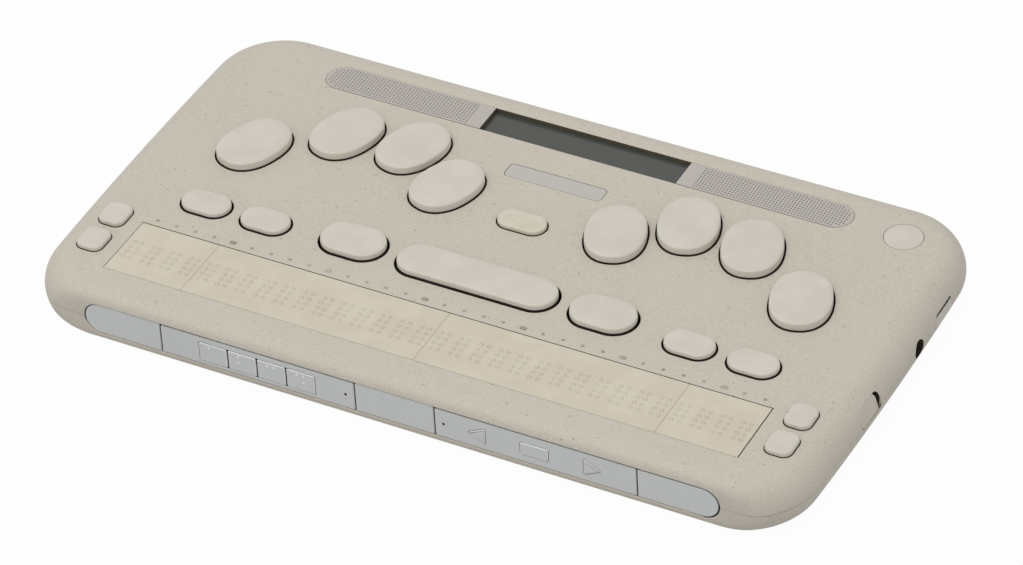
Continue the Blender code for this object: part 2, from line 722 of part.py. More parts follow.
def build_top_shell(keys, materials):
    piece = make_object("top_shell", shell_mesh(1), materials["casing"])
    bosses = [prism(shifted(circle(SCREW_WELL_RADIUS + BOSS_WALL - SEAT_GAP, SCREW_STEPS), x, y),
                    SEAM_HEIGHT + SEAT_GAP, CEILING + WALL / 2) for x, y in screw_places()]
    combine(piece, new_mesh(*bosses), "UNION")
    wells = []
    for key in keys.values():
        x, y = key["place"]
        wells.append(prism(shifted(key["outline"](key["gap"]), x, y),
                           CEILING - CUT_OVERRUN / 2, TOP + CUT_OVERRUN))
    wells.append(box(WINDOW_LENGTH, WINDOW_DEPTH, CEILING - CUT_OVERRUN / 2, TOP + CUT_OVERRUN,
                     y=(WINDOW_FRONT + WINDOW_BACK) / 2))
    wells.append(prism(shifted(round_ended(BAR_LENGTH, BAR_DEPTH, STRIP_END_STEPS), 0, BAR_LINE),
                       CEILING - CUT_OVERRUN / 2, TOP + CUT_OVERRUN))
    plate = rounded_rectangle(PLATE_LENGTH + 2 * SEAT_GAP, PLATE_DEPTH + 2 * SEAT_GAP,
                              PLATE_RADIUS + SEAT_GAP, 3)
    wells.append(prism(shifted(plate, 0, BAR_LINE - PLATE_BACK_OFFSET),
                       TOP - PLATE_THICKNESS - SEAT_GAP, TOP + CUT_OVERRUN))
    wells.append(prism(shifted(circle(DISC_RADIUS + DISC_GAP, DISC_STEPS), SIDE - DISC_SIDE_MARGIN,
                               BACK - DISC_BACK_MARGIN),
                       TOP - DISC_THICKNESS - SEAT_GAP, TOP + CUT_OVERRUN))
    for x, y in screw_places():
        wells.append(prism(shifted(circle(SCREW_HOLE_RADIUS, SCREW_STEPS), x, y),
                           SEAM_HEIGHT - CUT_OVERRUN,
                           SCREW_SEAT + SCREW_LENGTH + SEAT_GAP))
    combine(piece, new_mesh(*wells), "DIFFERENCE")
    combine(piece, wall_cutters(), "DIFFERENCE")
    smooth(piece)


def build_bottom_shell(materials):
    piece = make_object("bottom_shell", shell_mesh(-1), materials["casing"])
    posts = [prism(shifted(circle(SCREW_WELL_RADIUS + BOSS_WALL, SCREW_STEPS), x, y),
                   FLOOR - WALL / 2, SEAM_HEIGHT) for x, y in screw_places()]
    for x in (BOARD_LEFT + BOARD_POST_MARGIN, BOARD_RIGHT - BOARD_POST_MARGIN - BOARD_SIDE_MARGIN):
        for y in (BAY_FRONT + BOARD_POST_MARGIN, BOARD_BACK - BOARD_POST_MARGIN):
            posts.append(prism(shifted(circle(BOARD_POST_RADIUS, SCREW_STEPS - 4), x, y),
                               FLOOR - WALL / 2, FLOOR + BOARD_STANDOFF))
    combine(piece, new_mesh(*posts), "UNION")
    wells = []
    for x, y in screw_places():
        wells.append(prism(shifted(circle(SCREW_WELL_RADIUS, SCREW_STEPS), x, y),
                           FOOT_STAND - CUT_OVERRUN, SCREW_SEAT))
        wells.append(prism(shifted(circle(SCREW_HOLE_RADIUS, SCREW_STEPS), x, y),
                           SCREW_SEAT - SEAT_GAP, SEAM_HEIGHT + CUT_OVERRUN))
    for x, y in foot_places().values():
        wells.append(prism(shifted(circle(FOOT_RADIUS + SEAT_GAP, FOOT_STEPS), x, y),
                           FOOT_STAND - CUT_OVERRUN, FOOT_STAND + FOOT_SEAT))
    for well in wells:
        combine(piece, new_mesh(well), "DIFFERENCE")
    combine(piece, wall_cutters(), "DIFFERENCE")
    smooth(piece)


def build_braille_modules(materials):
    """Each block has a cap in the window and a low tail that holds its bending strips."""
    low = FLOOR + MODULE_TAIL_RISE
    tail_top = KEY_BOARD_TOP - KEY_BOARD_THICKNESS - SEAT_GAP
    first = -CELL_COUNT * CELL_PITCH / 2
    for number, cells in enumerate(MODULE_CELLS, start=1):
        last = first + cells * CELL_PITCH
        left = first - (WINDOW_END_MARGIN - SEAT_GAP) if number == 1 else first + SEAT_GAP / 2
        right = last + (WINDOW_END_MARGIN - SEAT_GAP) if number == len(MODULE_CELLS) \
            else last - SEAT_GAP / 2
        front = WINDOW_FRONT + SEAT_GAP
        back = WINDOW_BACK - SEAT_GAP
        profile = [(front, low), (back + MODULE_TAIL, low), (back + MODULE_TAIL, tail_top),
                   (back, tail_top), (back, TOP), (front, TOP)]
        mesh = new_mesh(side_prism(profile, left, right))
        make_object(f"braille_module_{number}", mesh, materials["cap"])
        first = last


def build_bar(materials):
    """The two grilles, the screen between them and the speakers underneath."""
    half = BAR_DEPTH / 2 - SEAT_GAP
    near = SCREEN_LENGTH / 2 + SEAT_GAP
    far = BAR_LENGTH / 2 - SEAT_GAP
    top = TOP - GRILLE_SINK
    for side, word in ((-1, "left"), (1, "right")):
        outline = [(near, -half)]
        for step in range(2 * STRIP_END_STEPS + 1):
            angle = math.radians(-90 + 180 * step / (2 * STRIP_END_STEPS))
            outline.append((far - half + half * math.cos(angle), half * math.sin(angle)))
        outline.append((near, half))
        outline = [(side * x, y) for x, y in outline]
        piece = make_object(f"grille_{word}", new_mesh(prism(outline, top - GRILLE_THICKNESS, top)),
                            materials["strip"], (0, BAR_LINE, 0))
        reach = GRILLE_FLANGE_REACH
        middle = (near + far - half) / 2
        flange_top = CEILING - SEAT_GAP
        flange = box(far - half - near, 2 * (half + reach), flange_top - GRILLE_FLANGE, flange_top,
                     x=side * middle)
        combine(piece, new_mesh(flange), "UNION")
    glass_top = TOP - SCREEN_SINK
    body_top = CEILING - 2 * SEAT_GAP - GRILLE_FLANGE
    screen = make_object("lcd_module", new_mesh(box(SCREEN_LENGTH - 2 * SEAT_GAP, 2 * half,
                                                    body_top - SEAT_GAP, glass_top, y=BAR_LINE)),
                         materials["screen"])
    body = box(SCREEN_LENGTH + 2 * SCREEN_BODY_MARGIN, 2 * (half + SCREEN_BODY_REACH),
               body_top - SCREEN_BODY_DEPTH, body_top, y=BAR_LINE)
    combine(screen, new_mesh(body), "UNION")
    speaker_near = SCREEN_LENGTH / 2 + SCREEN_BODY_MARGIN + SPEAKER_SCREEN_GAP
    speaker_far = BAR_LENGTH / 2 - SPEAKER_END_GAP
    speaker_x = (speaker_near + speaker_far) / 2
    for side, word in ((-1, "left"), (1, "right")):
        outline = rounded_rectangle(speaker_far - speaker_near, SPEAKER_DEPTH, SPEAKER_RADIUS, 3)
        make_object(f"speaker_{word}",
                    new_mesh(prism(shifted(outline, side * speaker_x, BAR_LINE),
                                   body_top - SPEAKER_HEIGHT, body_top)), materials["speaker"])


def build_top_trim(materials):
    plate = rounded_rectangle(PLATE_LENGTH, PLATE_DEPTH, PLATE_RADIUS, 3)
    make_object("name_plate", new_mesh(prism(shifted(plate, 0, BAR_LINE - PLATE_BACK_OFFSET),
                                             TOP - PLATE_THICKNESS, TOP)), materials["strip"])
    disc = circle(DISC_RADIUS, DISC_STEPS)
    place = (SIDE - DISC_SIDE_MARGIN, BACK - DISC_BACK_MARGIN, 0)
    make_object("corner_disc", new_mesh(prism(disc, TOP - DISC_THICKNESS, TOP)),
                materials["key"], place)


def strip_outline(near, far, side, grow):
    """A length of the strip; the outer end is round where far reaches the slot's end."""
    half = STRIP_HEIGHT / 2 - STRIP_GAP + grow
    if far < WINDOW_HALF:
        outline = [(near, -half), (far, -half), (far, half), (near, half)]
    else:
        end = WINDOW_HALF - STRIP_GAP + grow
        outline = [(near, -half)]
        for step in range(2 * STRIP_END_STEPS + 1):
            angle = math.radians(-90 + 180 * step / (2 * STRIP_END_STEPS))
            outline.append((end - half + half * math.cos(angle), half * math.sin(angle)))
        outline.append((near, half))
    return shifted([(side * x, z) for x, z in outline], 0, SEAM_HEIGHT)


def application_key_places():
    pitch = APPLICATION_KEY_WIDTH + APPLICATION_KEY_SPLIT
    middle = (APPLICATION_KEY_COUNT - 1) / 2
    return [-PANEL_MIDDLE + pitch * (index - middle) for index in range(APPLICATION_KEY_COUNT)]


def application_outline(grow):
    return rounded_rectangle(APPLICATION_KEY_WIDTH + 2 * grow, APPLICATION_KEY_HEIGHT + 2 * grow,
                             APPLICATION_KEY_RADIUS + grow, 2)


def play_outline(grow):
    return rounded_rectangle(PLAY_KEY_WIDTH + 2 * grow, PLAY_KEY_HEIGHT + 2 * grow,
                             MEDIA_KEY_RADIUS + grow, 3)


def arrow_outline(direction):
    half_x = ARROW_KEY_WIDTH / 2
    half_z = ARROW_KEY_HEIGHT / 2
    corners = [(-half_x, -half_z), (half_x, 0), (-half_x, half_z)]
    if direction < 0:
        corners = [(half_x, -half_z), (half_x, half_z), (-half_x, 0)]

    def outline(grow):
        inner = rounded_polygon(corners, MEDIA_KEY_RADIUS, 3)
        if grow == 0:
            return inner
        reach = [Vector(point) for point in inner]
        count = len(reach)
        grown = []
        for index, point in enumerate(reach):
            along = reach[(index + 1) % count] - reach[index - 1]
            normal = Vector((along.y, -along.x)).normalized()
            grown.append((point.x + normal.x * grow, point.y + normal.y * grow))
        return grown
    return outline


def strip_keys():
    keys = {}
    for number, x in enumerate(application_key_places(), start=1):
        keys[f"application_key_{number}"] = (x, STRIP_KEY_HEIGHT, application_outline)
    for name, offset, outline in (("previous_key", -MEDIA_KEY_PITCH, arrow_outline(-1)),
                                  ("play_key", 0, play_outline),
                                  ("next_key", MEDIA_KEY_PITCH, arrow_outline(1))):
        keys[name] = (PANEL_MIDDLE - MEDIA_KEY_SHIFT + offset, MEDIA_KEY_HEIGHT, outline)
    return keys


def build_strip(materials):
    lengths = {"left_trim": (PANEL_FAR + SEAT_GAP / 2, WINDOW_HALF, -1),
               "application_panel": (PANEL_NEAR + SEAT_GAP / 2, PANEL_FAR - SEAT_GAP / 2, -1),
               "media_panel": (PANEL_NEAR + SEAT_GAP / 2, PANEL_FAR - SEAT_GAP / 2, 1),
               "right_trim": (PANEL_FAR + SEAT_GAP / 2, WINDOW_HALF, 1)}
    pieces = {}
    for name, (near, far, side) in lengths.items():
        plate = front_prism(strip_outline(near, far, side, 0), STRIP_FACE, FLANGE_BACK)
        pieces[name] = make_object(name, new_mesh(plate), materials["strip"])
        flange = front_prism(strip_outline(near, far, side, STRIP_FLANGE_REACH),
                             STRIP_BACK, FLANGE_BACK)
        combine(pieces[name], new_mesh(flange), "UNION")
    half = PANEL_NEAR - SEAT_GAP / 2
    tall = STRIP_HEIGHT / 2 - STRIP_GAP
    middle = [(-half, -tall), (half, -tall), (half, tall), (-half, tall)]
    centre = make_object("centre_trim",
                         new_mesh(front_prism(shifted(middle, 0, SEAM_HEIGHT), STRIP_FACE,
                                              FLANGE_BACK)), materials["strip"])
    grown = tall + STRIP_FLANGE_REACH
    flange = [(-half, -grown), (half, -grown), (half, grown), (-half, grown)]
    combine(centre, new_mesh(front_prism(shifted(flange, 0, SEAM_HEIGHT), STRIP_BACK,
                                         FLANGE_BACK)), "UNION")
    half_x = TRIM_BOSS_WIDTH / 2
    half_z = TRIM_BOSS_HEIGHT / 2
    boss = [(-half_x, -half_z), (half_x, -half_z), (half_x, half_z), (-half_x, half_z)]
    combine(centre, new_mesh(front_prism(shifted(boss, 0, SEAM_HEIGHT), STRIP_BACK,
                                         FRONT_BOARD_FACE - SEAT_GAP)), "UNION")
    reach = (APPLICATION_KEY_COUNT * APPLICATION_KEY_WIDTH
             + (APPLICATION_KEY_COUNT - 1) * APPLICATION_KEY_SPLIT) / 2 + APPLICATION_WINDOW_GAP
    window = rounded_rectangle(2 * reach, APPLICATION_KEY_HEIGHT + 2 * APPLICATION_WINDOW_GAP,
                               APPLICATION_KEY_RADIUS + APPLICATION_WINDOW_GAP, 2)
    near = STRIP_FACE - CUT_OVERRUN
    far = FLANGE_BACK + CUT_OVERRUN
    lamp = circle(INDICATOR_RADIUS, INDICATOR_STEPS)
    lamp_x = PANEL_NEAR + INDICATOR_MARGIN
    combine(pieces["application_panel"],
            new_mesh(front_prism(shifted(window, -PANEL_MIDDLE, STRIP_KEY_HEIGHT), near, far),
                     front_prism(shifted(lamp, -lamp_x, MEDIA_KEY_HEIGHT), near, far)), "DIFFERENCE")
    holes = [front_prism(shifted(lamp, lamp_x, MEDIA_KEY_HEIGHT), near, far)]
    for name, (x, height, outline) in strip_keys().items():
        if not name.startswith("application"):
            holes.append(front_prism(shifted(outline(SEAT_GAP), x, height), near, far))
    combine(pieces["media_panel"], new_mesh(*holes), "DIFFERENCE")


def build_strip_keys(materials):
    """Caps in the strip: a plug through the panel, a stop flange behind it and a short stem."""
    stem_end = FRONT_BOARD_FACE - SEAT_GAP - STRIP_KEY_TRAVEL
    stop = FLANGE_BACK + SEAT_GAP
    for name, (x, height, outline) in strip_keys().items():
        piece = make_object(name, new_mesh(front_prism(outline(0), -STRIP_KEY_RISE,
                                                       stop + STRIP_KEY_FLANGE - STRIP_FACE)),
                            materials["strip"], (x, STRIP_FACE, height))
        if name.startswith("application"):
            dot = circle(DIGIT_DOT_RADIUS, DIGIT_DOT_STEPS)
            dots = [front_prism(shifted(dot, share_x * DIGIT_DOT_SPACING,
                                        share_z * DIGIT_DOT_SPACING),
                                -STRIP_KEY_RISE - DIGIT_DOT_RISE, 0)
                    for share_x, share_z in DIGIT_DOT_SHARES[int(name[-1]) - 1]]
            combine(piece, new_mesh(*dots), "UNION")
        grow_x = 0 if name.startswith("application") else STRIP_KEY_FLANGE_REACH
        wide = max(abs(point[0]) for point in outline(0)) + grow_x
        tall = max(point[1] for point in outline(0)) + STRIP_KEY_FLANGE_REACH
        plate = [(-wide, -tall), (wide, -tall), (wide, tall), (-wide, tall)]
        combine(piece, new_mesh(front_prism(plate, stop - STRIP_FACE,
                                            stop + STRIP_KEY_FLANGE - STRIP_FACE)), "UNION")
        combine(piece, new_mesh(front_prism(circle(STRIP_KEY_STEM_RADIUS, KEY_STEM_STEPS),
                                            stop - STRIP_FACE, stem_end - STRIP_FACE)), "UNION")
        smooth(piece)


def build_boards(keys, materials):
    low = KEY_BOARD_TOP - KEY_BOARD_THICKNESS
    half = SIDE - KEY_BOARD_SIDE_MARGIN
    back = BAR_LINE - KEY_BOARD_BACK_MARGIN
    front = WINDOW_BACK + KEY_BOARD_FRONT_MARGIN
    inner = WINDOW_HALF + KEY_BOARD_WING_MARGIN
    wing = WINDOW_BACK - KEY_BOARD_WING_REACH
    shoulder = front + KEY_BOARD_SHOULDER
    outline = [(half, wing), (half, shoulder), (WINDOW_HALF, shoulder), (WINDOW_HALF, back),
               (-WINDOW_HALF, back), (-WINDOW_HALF, shoulder), (-half, shoulder), (-half, wing),
               (-inner, wing), (-inner, front), (inner, front), (inner, wing)]
    board = make_object("key_board", new_mesh(prism(outline, low, KEY_BOARD_TOP)),
                        materials["board"])
    switches = []
    for key in keys.values():
        x, y = key["place"]
        switches.append(box(SWITCH_SIZE, SWITCH_SIZE, low + KEY_BOARD_THICKNESS / 2, SWITCH_TOP, x, y))
    combine(board, new_mesh(*switches), "UNION")
    reach = PANEL_FAR - FRONT_BOARD_END_MARGIN
    tall = FRONT_BOARD_HEIGHT / 2
    front_outline = shifted([(-reach, -tall), (reach, -tall), (reach, tall), (-reach, tall)],
                            0, STRIP_KEY_HEIGHT)
    make_object("front_key_board",
                new_mesh(front_prism(front_outline, FRONT_BOARD_FACE,
                                     FRONT_BOARD_FACE + FRONT_BOARD_THICKNESS)), materials["board"])
    main = [(BOARD_LEFT, BAY_FRONT), (BOARD_RIGHT, BAY_FRONT),
            (BOARD_RIGHT, BOARD_BACK), (BOARD_LEFT, BOARD_BACK)]
    make_object("main_board", new_mesh(prism(main, BOARD_TOP - BOARD_THICKNESS, BOARD_TOP)),
                materials["board"])
    battery_back = BACK - BATTERY_BACK_MARGIN
    pack = rounded_rectangle(BATTERY_LENGTH, battery_back - BAY_FRONT, BATTERY_RADIUS, 3)
    pack = shifted(pack, BATTERY_LEFT + BATTERY_LENGTH / 2, (BAY_FRONT + battery_back) / 2)
    make_object("battery_pack", new_mesh(prism(pack, FLOOR + SEAT_GAP,
                                               FLOOR + SEAT_GAP + BATTERY_HEIGHT)),
                materials["battery"])


def build_ports(materials):
    face = SIDE - USB_SINK
    y = FRONT + USB_SETBACK
    z = SEAM_HEIGHT
    width = USB_WIDTH - 2 * USB_SEAT
    height = USB_HEIGHT - 2 * USB_SEAT
    outer = rounded_rectangle(width, height, USB_CORNER - USB_SEAT, 2)
    usb = make_object("usb_socket", new_mesh(side_prism(outer, face - USB_BODY_LENGTH, face)),
                      materials["socket"], (0, y, z))
    base_low = BOARD_TOP + SEAT_GAP - z
    inner_end = SIDE - WALL - SEAT_GAP - BOARD_SIDE_MARGIN / 2
    base = box(inner_end - face + USB_BODY_LENGTH, USB_BASE_WIDTH, base_low, 0,
               x=(inner_end + face - USB_BODY_LENGTH) / 2)
    combine(usb, new_mesh(base), "UNION")
    half_y = width / 2 - USB_WALL
    half_z = height / 2 - USB_WALL
    cavity = [(-half_y, -half_z), (half_y, -half_z), (half_y, half_z), (-half_y, half_z)]
    combine(usb, new_mesh(side_prism(cavity, face - USB_CAVITY, face + CUT_OVERRUN)), "DIFFERENCE")
    back = face - USB_BODY_LENGTH + USB_WALL
    tongue = box(face - USB_TONGUE_SINK - back, USB_TONGUE_WIDTH,
                 USB_TONGUE_RISE - USB_TONGUE_THICKNESS / 2,
                 USB_TONGUE_RISE + USB_TONGUE_THICKNESS / 2,
                 x=(face - USB_TONGUE_SINK + back) / 2)
    combine(usb, new_mesh(tongue), "UNION")
    smooth(usb)
    face = SIDE - JACK_SINK
    y = FRONT + JACK_SETBACK
    z = SEAM_HEIGHT - JACK_DROP
    low = BOARD_TOP + SEAT_GAP - z
    jack = make_object("audio_jack", new_mesh(box(JACK_BODY_LENGTH, JACK_BODY_WIDTH, low,
                                                  low + JACK_BODY_HEIGHT,
                                                  x=face - JACK_BODY_LENGTH / 2)),
                       materials["jack"], (0, y, z))
    combine(jack, new_mesh(side_prism(circle(JACK_BORE_RADIUS, ROUND_STEPS),
                                      face - JACK_BORE_LENGTH, face + CUT_OVERRUN)), "DIFFERENCE")


def build_lock_switch(materials):
    """A knob in the slot and a wider plate behind the wall; it is shown at the front end."""
    z = SEAM_HEIGHT + LOCK_RISE
    y = FRONT + LOCK_SETBACK - LOCK_TRAVEL / 2
    height = LOCK_SLOT_HEIGHT - 2 * SEAT_GAP
    half_y = LOCK_SLOT_LENGTH / 2 + LOCK_PLATE_REACH
    half_z = LOCK_SLOT_HEIGHT / 2 + LOCK_PLATE_REACH
    plate_face = bowed(wall_reach(z + half_z, EDGE_RADIUS - WALL), y - half_y) - SEAT_GAP
    knob = rounded_rectangle(LOCK_SLOT_LENGTH - LOCK_TRAVEL - 2 * SEAT_GAP, height,
                             LOCK_CORNER - SEAT_GAP, LOCK_STEPS)
    face = [Vector((bowed(wall_reach(z + point_z, EDGE_RADIUS), y) - LOCK_KNOB_SINK,
                    point_y, point_z)) for point_y, point_z in knob]
    root = facing_side(knob, plate_face - LOCK_PLATE_THICKNESS / 2)
    piece = make_object("lock_switch", new_mesh([root, face]), materials["key"], (0, y, z))
    plate = [(-half_y, -half_z), (half_y, -half_z), (half_y, half_z), (-half_y, half_z)]
    combine(piece, new_mesh(side_prism(plate, plate_face - LOCK_PLATE_THICKNESS, plate_face)),
            "UNION")
    smooth(piece)


def build_feet_and_screws(materials):
    for word, (x, y) in foot_places().items():
        foot = make_object(f"foot_{word}",
                           new_mesh(prism(circle(FOOT_RADIUS, FOOT_STEPS), 0,
                                          FOOT_STAND + FOOT_SEAT - SEAT_GAP)),
                           materials["foot"], (x, y, 0))
        smooth(foot)
    head_top = SCREW_HEAD_BOTTOM + SCREW_HEAD_HEIGHT
    for number, (x, y) in enumerate(screw_places(), start=1):
        screw = make_object(f"case_screw_{number}",
                            new_mesh(prism(circle(SCREW_HEAD_RADIUS, SCREW_STEPS),
                                           SCREW_HEAD_BOTTOM, head_top)),
                            materials["screw"], (x, y, 0))
        combine(screw, new_mesh(prism(circle(SCREW_RADIUS, SCREW_STEPS),
                                      head_top - SCREW_HEAD_HEIGHT / 2, head_top + SCREW_LENGTH)),
                "UNION")
        reach = 2 * (SCREW_HEAD_RADIUS - SCREW_SLOT_WIDTH)
        low = SCREW_HEAD_BOTTOM - CUT_OVERRUN
        high = SCREW_HEAD_BOTTOM + SCREW_SLOT_DEPTH
        for width, depth in ((reach, SCREW_SLOT_WIDTH), (SCREW_SLOT_WIDTH, reach)):
            combine(screw, new_mesh(box(width, depth, low, high)), "DIFFERENCE")
        smooth(screw)


def main():
    clear_scene()
    materials = make_materials()
    keys = key_plan()
    build_top_shell(keys, materials)
    build_bottom_shell(materials)
    for name, key in keys.items():
        build_key(name, key, materials)
    build_braille_modules(materials)
    build_bar(materials)
    build_top_trim(materials)
    build_strip(materials)
    build_strip_keys(materials)
    build_boards(keys, materials)
    build_ports(materials)
    build_lock_switch(materials)
    build_feet_and_screws(materials)


main()
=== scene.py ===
"""Looks of a braille notetaker: a slim keyboard computer with a 32-cell braille display.

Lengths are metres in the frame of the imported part: +X to the user's right, +Y to the back,
+Z up, the table at height zero. Every surface is worked out with numpy: an outline in a plane
is carried along a profile, and the points of all levels are computed as one array.
"""

import logging
import math
from abc import ABC, abstractmethod
from collections.abc import Callable, Iterable
from dataclasses import dataclass
from enum import Enum

import bmesh
import bpy
import numpy as np
from mathutils import Matrix, Vector


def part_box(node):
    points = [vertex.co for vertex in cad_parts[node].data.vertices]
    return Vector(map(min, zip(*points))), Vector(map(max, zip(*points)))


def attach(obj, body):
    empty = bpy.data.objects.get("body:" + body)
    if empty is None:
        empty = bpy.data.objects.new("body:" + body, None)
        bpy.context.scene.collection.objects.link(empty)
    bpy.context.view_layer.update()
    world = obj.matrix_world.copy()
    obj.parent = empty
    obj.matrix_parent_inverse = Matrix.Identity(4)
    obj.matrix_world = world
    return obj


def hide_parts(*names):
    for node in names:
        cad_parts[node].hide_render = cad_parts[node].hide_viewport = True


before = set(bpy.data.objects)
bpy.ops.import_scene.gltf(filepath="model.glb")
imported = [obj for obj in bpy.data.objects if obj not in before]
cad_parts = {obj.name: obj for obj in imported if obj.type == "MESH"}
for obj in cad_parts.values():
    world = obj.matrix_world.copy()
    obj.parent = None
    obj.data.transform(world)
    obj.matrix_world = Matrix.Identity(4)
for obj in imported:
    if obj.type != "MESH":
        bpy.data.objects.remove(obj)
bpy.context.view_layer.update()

log = logging.getLogger("braille_notetaker")

MM = 0.001
SEAT_GAP = 0.3 * MM
CUT_OVERRUN = 2.0 * MM
MERGE_DISTANCE = 0.1e-6
SHARP_ANGLE = math.radians(38.0)
AREA_WEIGHT = 50
WHITE = "FFFFFF"

Socket = bpy.types.NodeSocket


class Facing(Enum):
    """The side that an outline looks at: the axes of its two directions and of its level."""

    TOP = (0, 1, 2)
    FRONT = (0, 2, 1)
    RIGHT = (1, 2, 0)


class Cut(Enum):
    """What a tool does to the piece that it meets."""

    REMOVE = "DIFFERENCE"
    JOIN = "UNION"


def low(node: str) -> Vector:
    """The lowest corner of a CAD node."""
    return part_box(node)[0]


def high(node: str) -> Vector:
    """The highest corner of a CAD node."""
    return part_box(node)[1]


def middle(node: str) -> Vector:
    """The middle of a CAD node's box."""
    return (low(node) + high(node)) / 2


def place_of(node: str, facing: Facing = Facing.TOP) -> np.ndarray:
    """The middle of a CAD node as one side shows it: its place along the plane's directions."""
    return np.array([middle(node)[axis] for axis in facing.value[:2]])


def radius_of(node: str) -> float:
    """Half of a CAD node's width."""
    return (high(node).x - low(node).x) / 2


TOP = high("top_shell").z
SIDE = high("top_shell").x
FRONT = low("top_shell").y
BACK = high("top_shell").y
UNDERSIDE = low("bottom_shell").z
EDGE_RADIUS = (TOP - UNDERSIDE) / 2
MID_HEIGHT = (TOP + UNDERSIDE) / 2
SEAM = low("top_shell").z - SEAT_GAP / 2
FEET = tuple("foot_" + corner
             for corner in ("front_left", "front_right", "back_left", "back_right"))
SCREWS = tuple(f"case_screw_{number}" for number in range(1, 5))


def tidy(outline: np.ndarray) -> np.ndarray:
    """Leaves out each point of a closed outline that repeats the one before it."""
    step = np.linalg.norm(outline - np.roll(outline, 1, axis=0), axis=1)
    return outline[step > MERGE_DISTANCE]


def rounded_rectangle(width: float, depth: float, radius: float, steps: int = 8) -> np.ndarray:
    """Corner centre plus radius times (cos t, sin t), a quarter turn of t for each corner.

    Args:
        width: Size along the first axis.
        depth: Size along the second axis.
        radius: Corner radius.
        steps: Chords in each corner.

    Returns:
        The outline's points, anticlockwise.
    """
    quarter = np.linspace(0, math.pi / 2, steps + 1)
    turns = quarter[None, :] + np.arange(4)[:, None] * math.pi / 2
    signs = np.array([(1, 1), (-1, 1), (-1, -1), (1, -1)])
    centres = signs * np.array((width / 2 - radius, depth / 2 - radius))
    arcs = radius * np.stack((np.cos(turns), np.sin(turns)), axis=-1)
    return tidy((centres[:, None, :] + arcs).reshape(-1, 2))


def round_ended(length: float, depth: float, steps: int = 12) -> np.ndarray:
    """A bar whose two ends are half circles: a rounded rectangle of the largest radius."""
    return rounded_rectangle(length, depth, min(length, depth) / 2, steps)


def rectangle(width: float, depth: float) -> np.ndarray:
    """Four corners around the origin, anticlockwise."""
    return np.array([(1, 1), (-1, 1), (-1, -1), (1, -1)]) * np.array((width / 2, depth / 2))


def circle(radius: float, steps: int = 32) -> np.ndarray:
    """Radius times (cos t, sin t) for a full turn of t."""
    turn = np.arange(steps) * 2 * math.pi / steps
    return radius * np.stack((np.cos(turn), np.sin(turn)), axis=1)


def fat_oval(half_width: float, half_length: float, exponent: float, turn: float,
             steps: int = 96) -> np.ndarray:
    """A superellipse |x/a|^n + |y/b|^n = 1, turned anticlockwise.

    Args:
        half_width: The a of the formula.
        half_length: The b of the formula.
        exponent: The n of the formula.
        turn: Angle of the turn in radians.
        steps: Number of points.

    Returns:
        The outline's points, anticlockwise.
    """
    angle = np.arange(steps) * 2 * math.pi / steps
    power = 2 / exponent
    x = half_width * np.sign(np.cos(angle)) * np.abs(np.cos(angle)) ** power
    y = half_length * np.sign(np.sin(angle)) * np.abs(np.sin(angle)) ** power
    return np.stack((x * math.cos(turn) - y * math.sin(turn),
                     x * math.sin(turn) + y * math.cos(turn)), axis=1)


def one_round_end(near: float, far: float, half: float, side: int,
                  steps: int = 48) -> np.ndarray:
    """A bar whose far end is a half circle: (far - h + h cos t, h sin t) with half height h.

    Args:
        near: Where its square end is.
        far: How far its round end reaches.
        half: Half of its height.
        side: 1 when it runs towards the positive side, -1 for the mirror image of that.
        steps: Chords in the half circle.

    Returns:
        The outline's points, anticlockwise.
    """
    angle = np.linspace(-math.pi / 2, math.pi / 2, steps + 1)
    end = np.stack((far - half + half * np.cos(angle), half * np.sin(angle)), axis=1)
    outline = np.concatenate(([(near, -half)], end, [(near, half)]))
    return outline if side > 0 else (outline * np.array((-1, 1)))[::-1]


def rounded_corners(corners: np.ndarray, radius: float, steps: int = 8) -> np.ndarray:
    """A convex polygon whose corners are quadratic curves of about the given radius.

    Each corner p becomes (1 - t)^2 a + 2 t (1 - t) p + t^2 b, where a and b lie on its two sides.

    Args:
        corners: The polygon's corners, anticlockwise.
        radius: Distance from a corner to where its curve starts.
        steps: Chords in each corner.

    Returns:
        The outline's points, anticlockwise.
    """
    before = np.roll(corners, 1, axis=0) - corners
    after = np.roll(corners, -1, axis=0) - corners
    start = corners + radius * before / np.linalg.norm(before, axis=1)[:, None]
    end = corners + radius * after / np.linalg.norm(after, axis=1)[:, None]
    t = np.linspace(0, 1, steps + 1)[None, :, None]
    curve = ((1 - t) ** 2 * start[:, None] + 2 * t * (1 - t) * corners[:, None]
             + t ** 2 * end[:, None])
    return tidy(curve.reshape(-1, 2))


def outward(outline: np.ndarray) -> np.ndarray:
    """Directions that move every side of an outline out by one.

    With n and m the normals of the two sides at a point, the direction is (n + m) / (1 + n.m).

    Args:
        outline: Points of a closed outline, anticlockwise.

    Returns:
        One direction for each point.
    """
    along = np.roll(outline, -1, axis=0) - outline
    along /= np.linalg.norm(along, axis=1)[:, None]
    after = np.stack((along[:, 1], -along[:, 0]), axis=1)
    before = np.roll(after, 1, axis=0)
    return (after + before) / (1 + np.sum(after * before, axis=1))[:, None]


def lay(points: np.ndarray, level: np.ndarray | float, facing: Facing) -> np.ndarray:
    """Puts plane points into space.

    Args:
        points: Array whose last axis holds the two directions of the plane.
        level: Place along the plane's normal, one value or one for each point.
        facing: The side that the plane looks at.

    Returns:
        The same array with three coordinates on its last axis.
    """
    space = np.empty(points.shape[:-1] + (3,))
    first, second, normal = facing.value
    space[..., first] = points[..., 0]
    space[..., second] = points[..., 1]
    space[..., normal] = level
    return space


def carried(outline: np.ndarray, profile: np.ndarray, facing: Facing = Facing.TOP) -> np.ndarray:
    """Rings of an outline that a profile's insets draw in, one at each of the profile's levels."""
    flat = outline[None] - profile[:, 0, None, None] * outward(outline)[None]
    return lay(flat, profile[:, 1, None], facing)


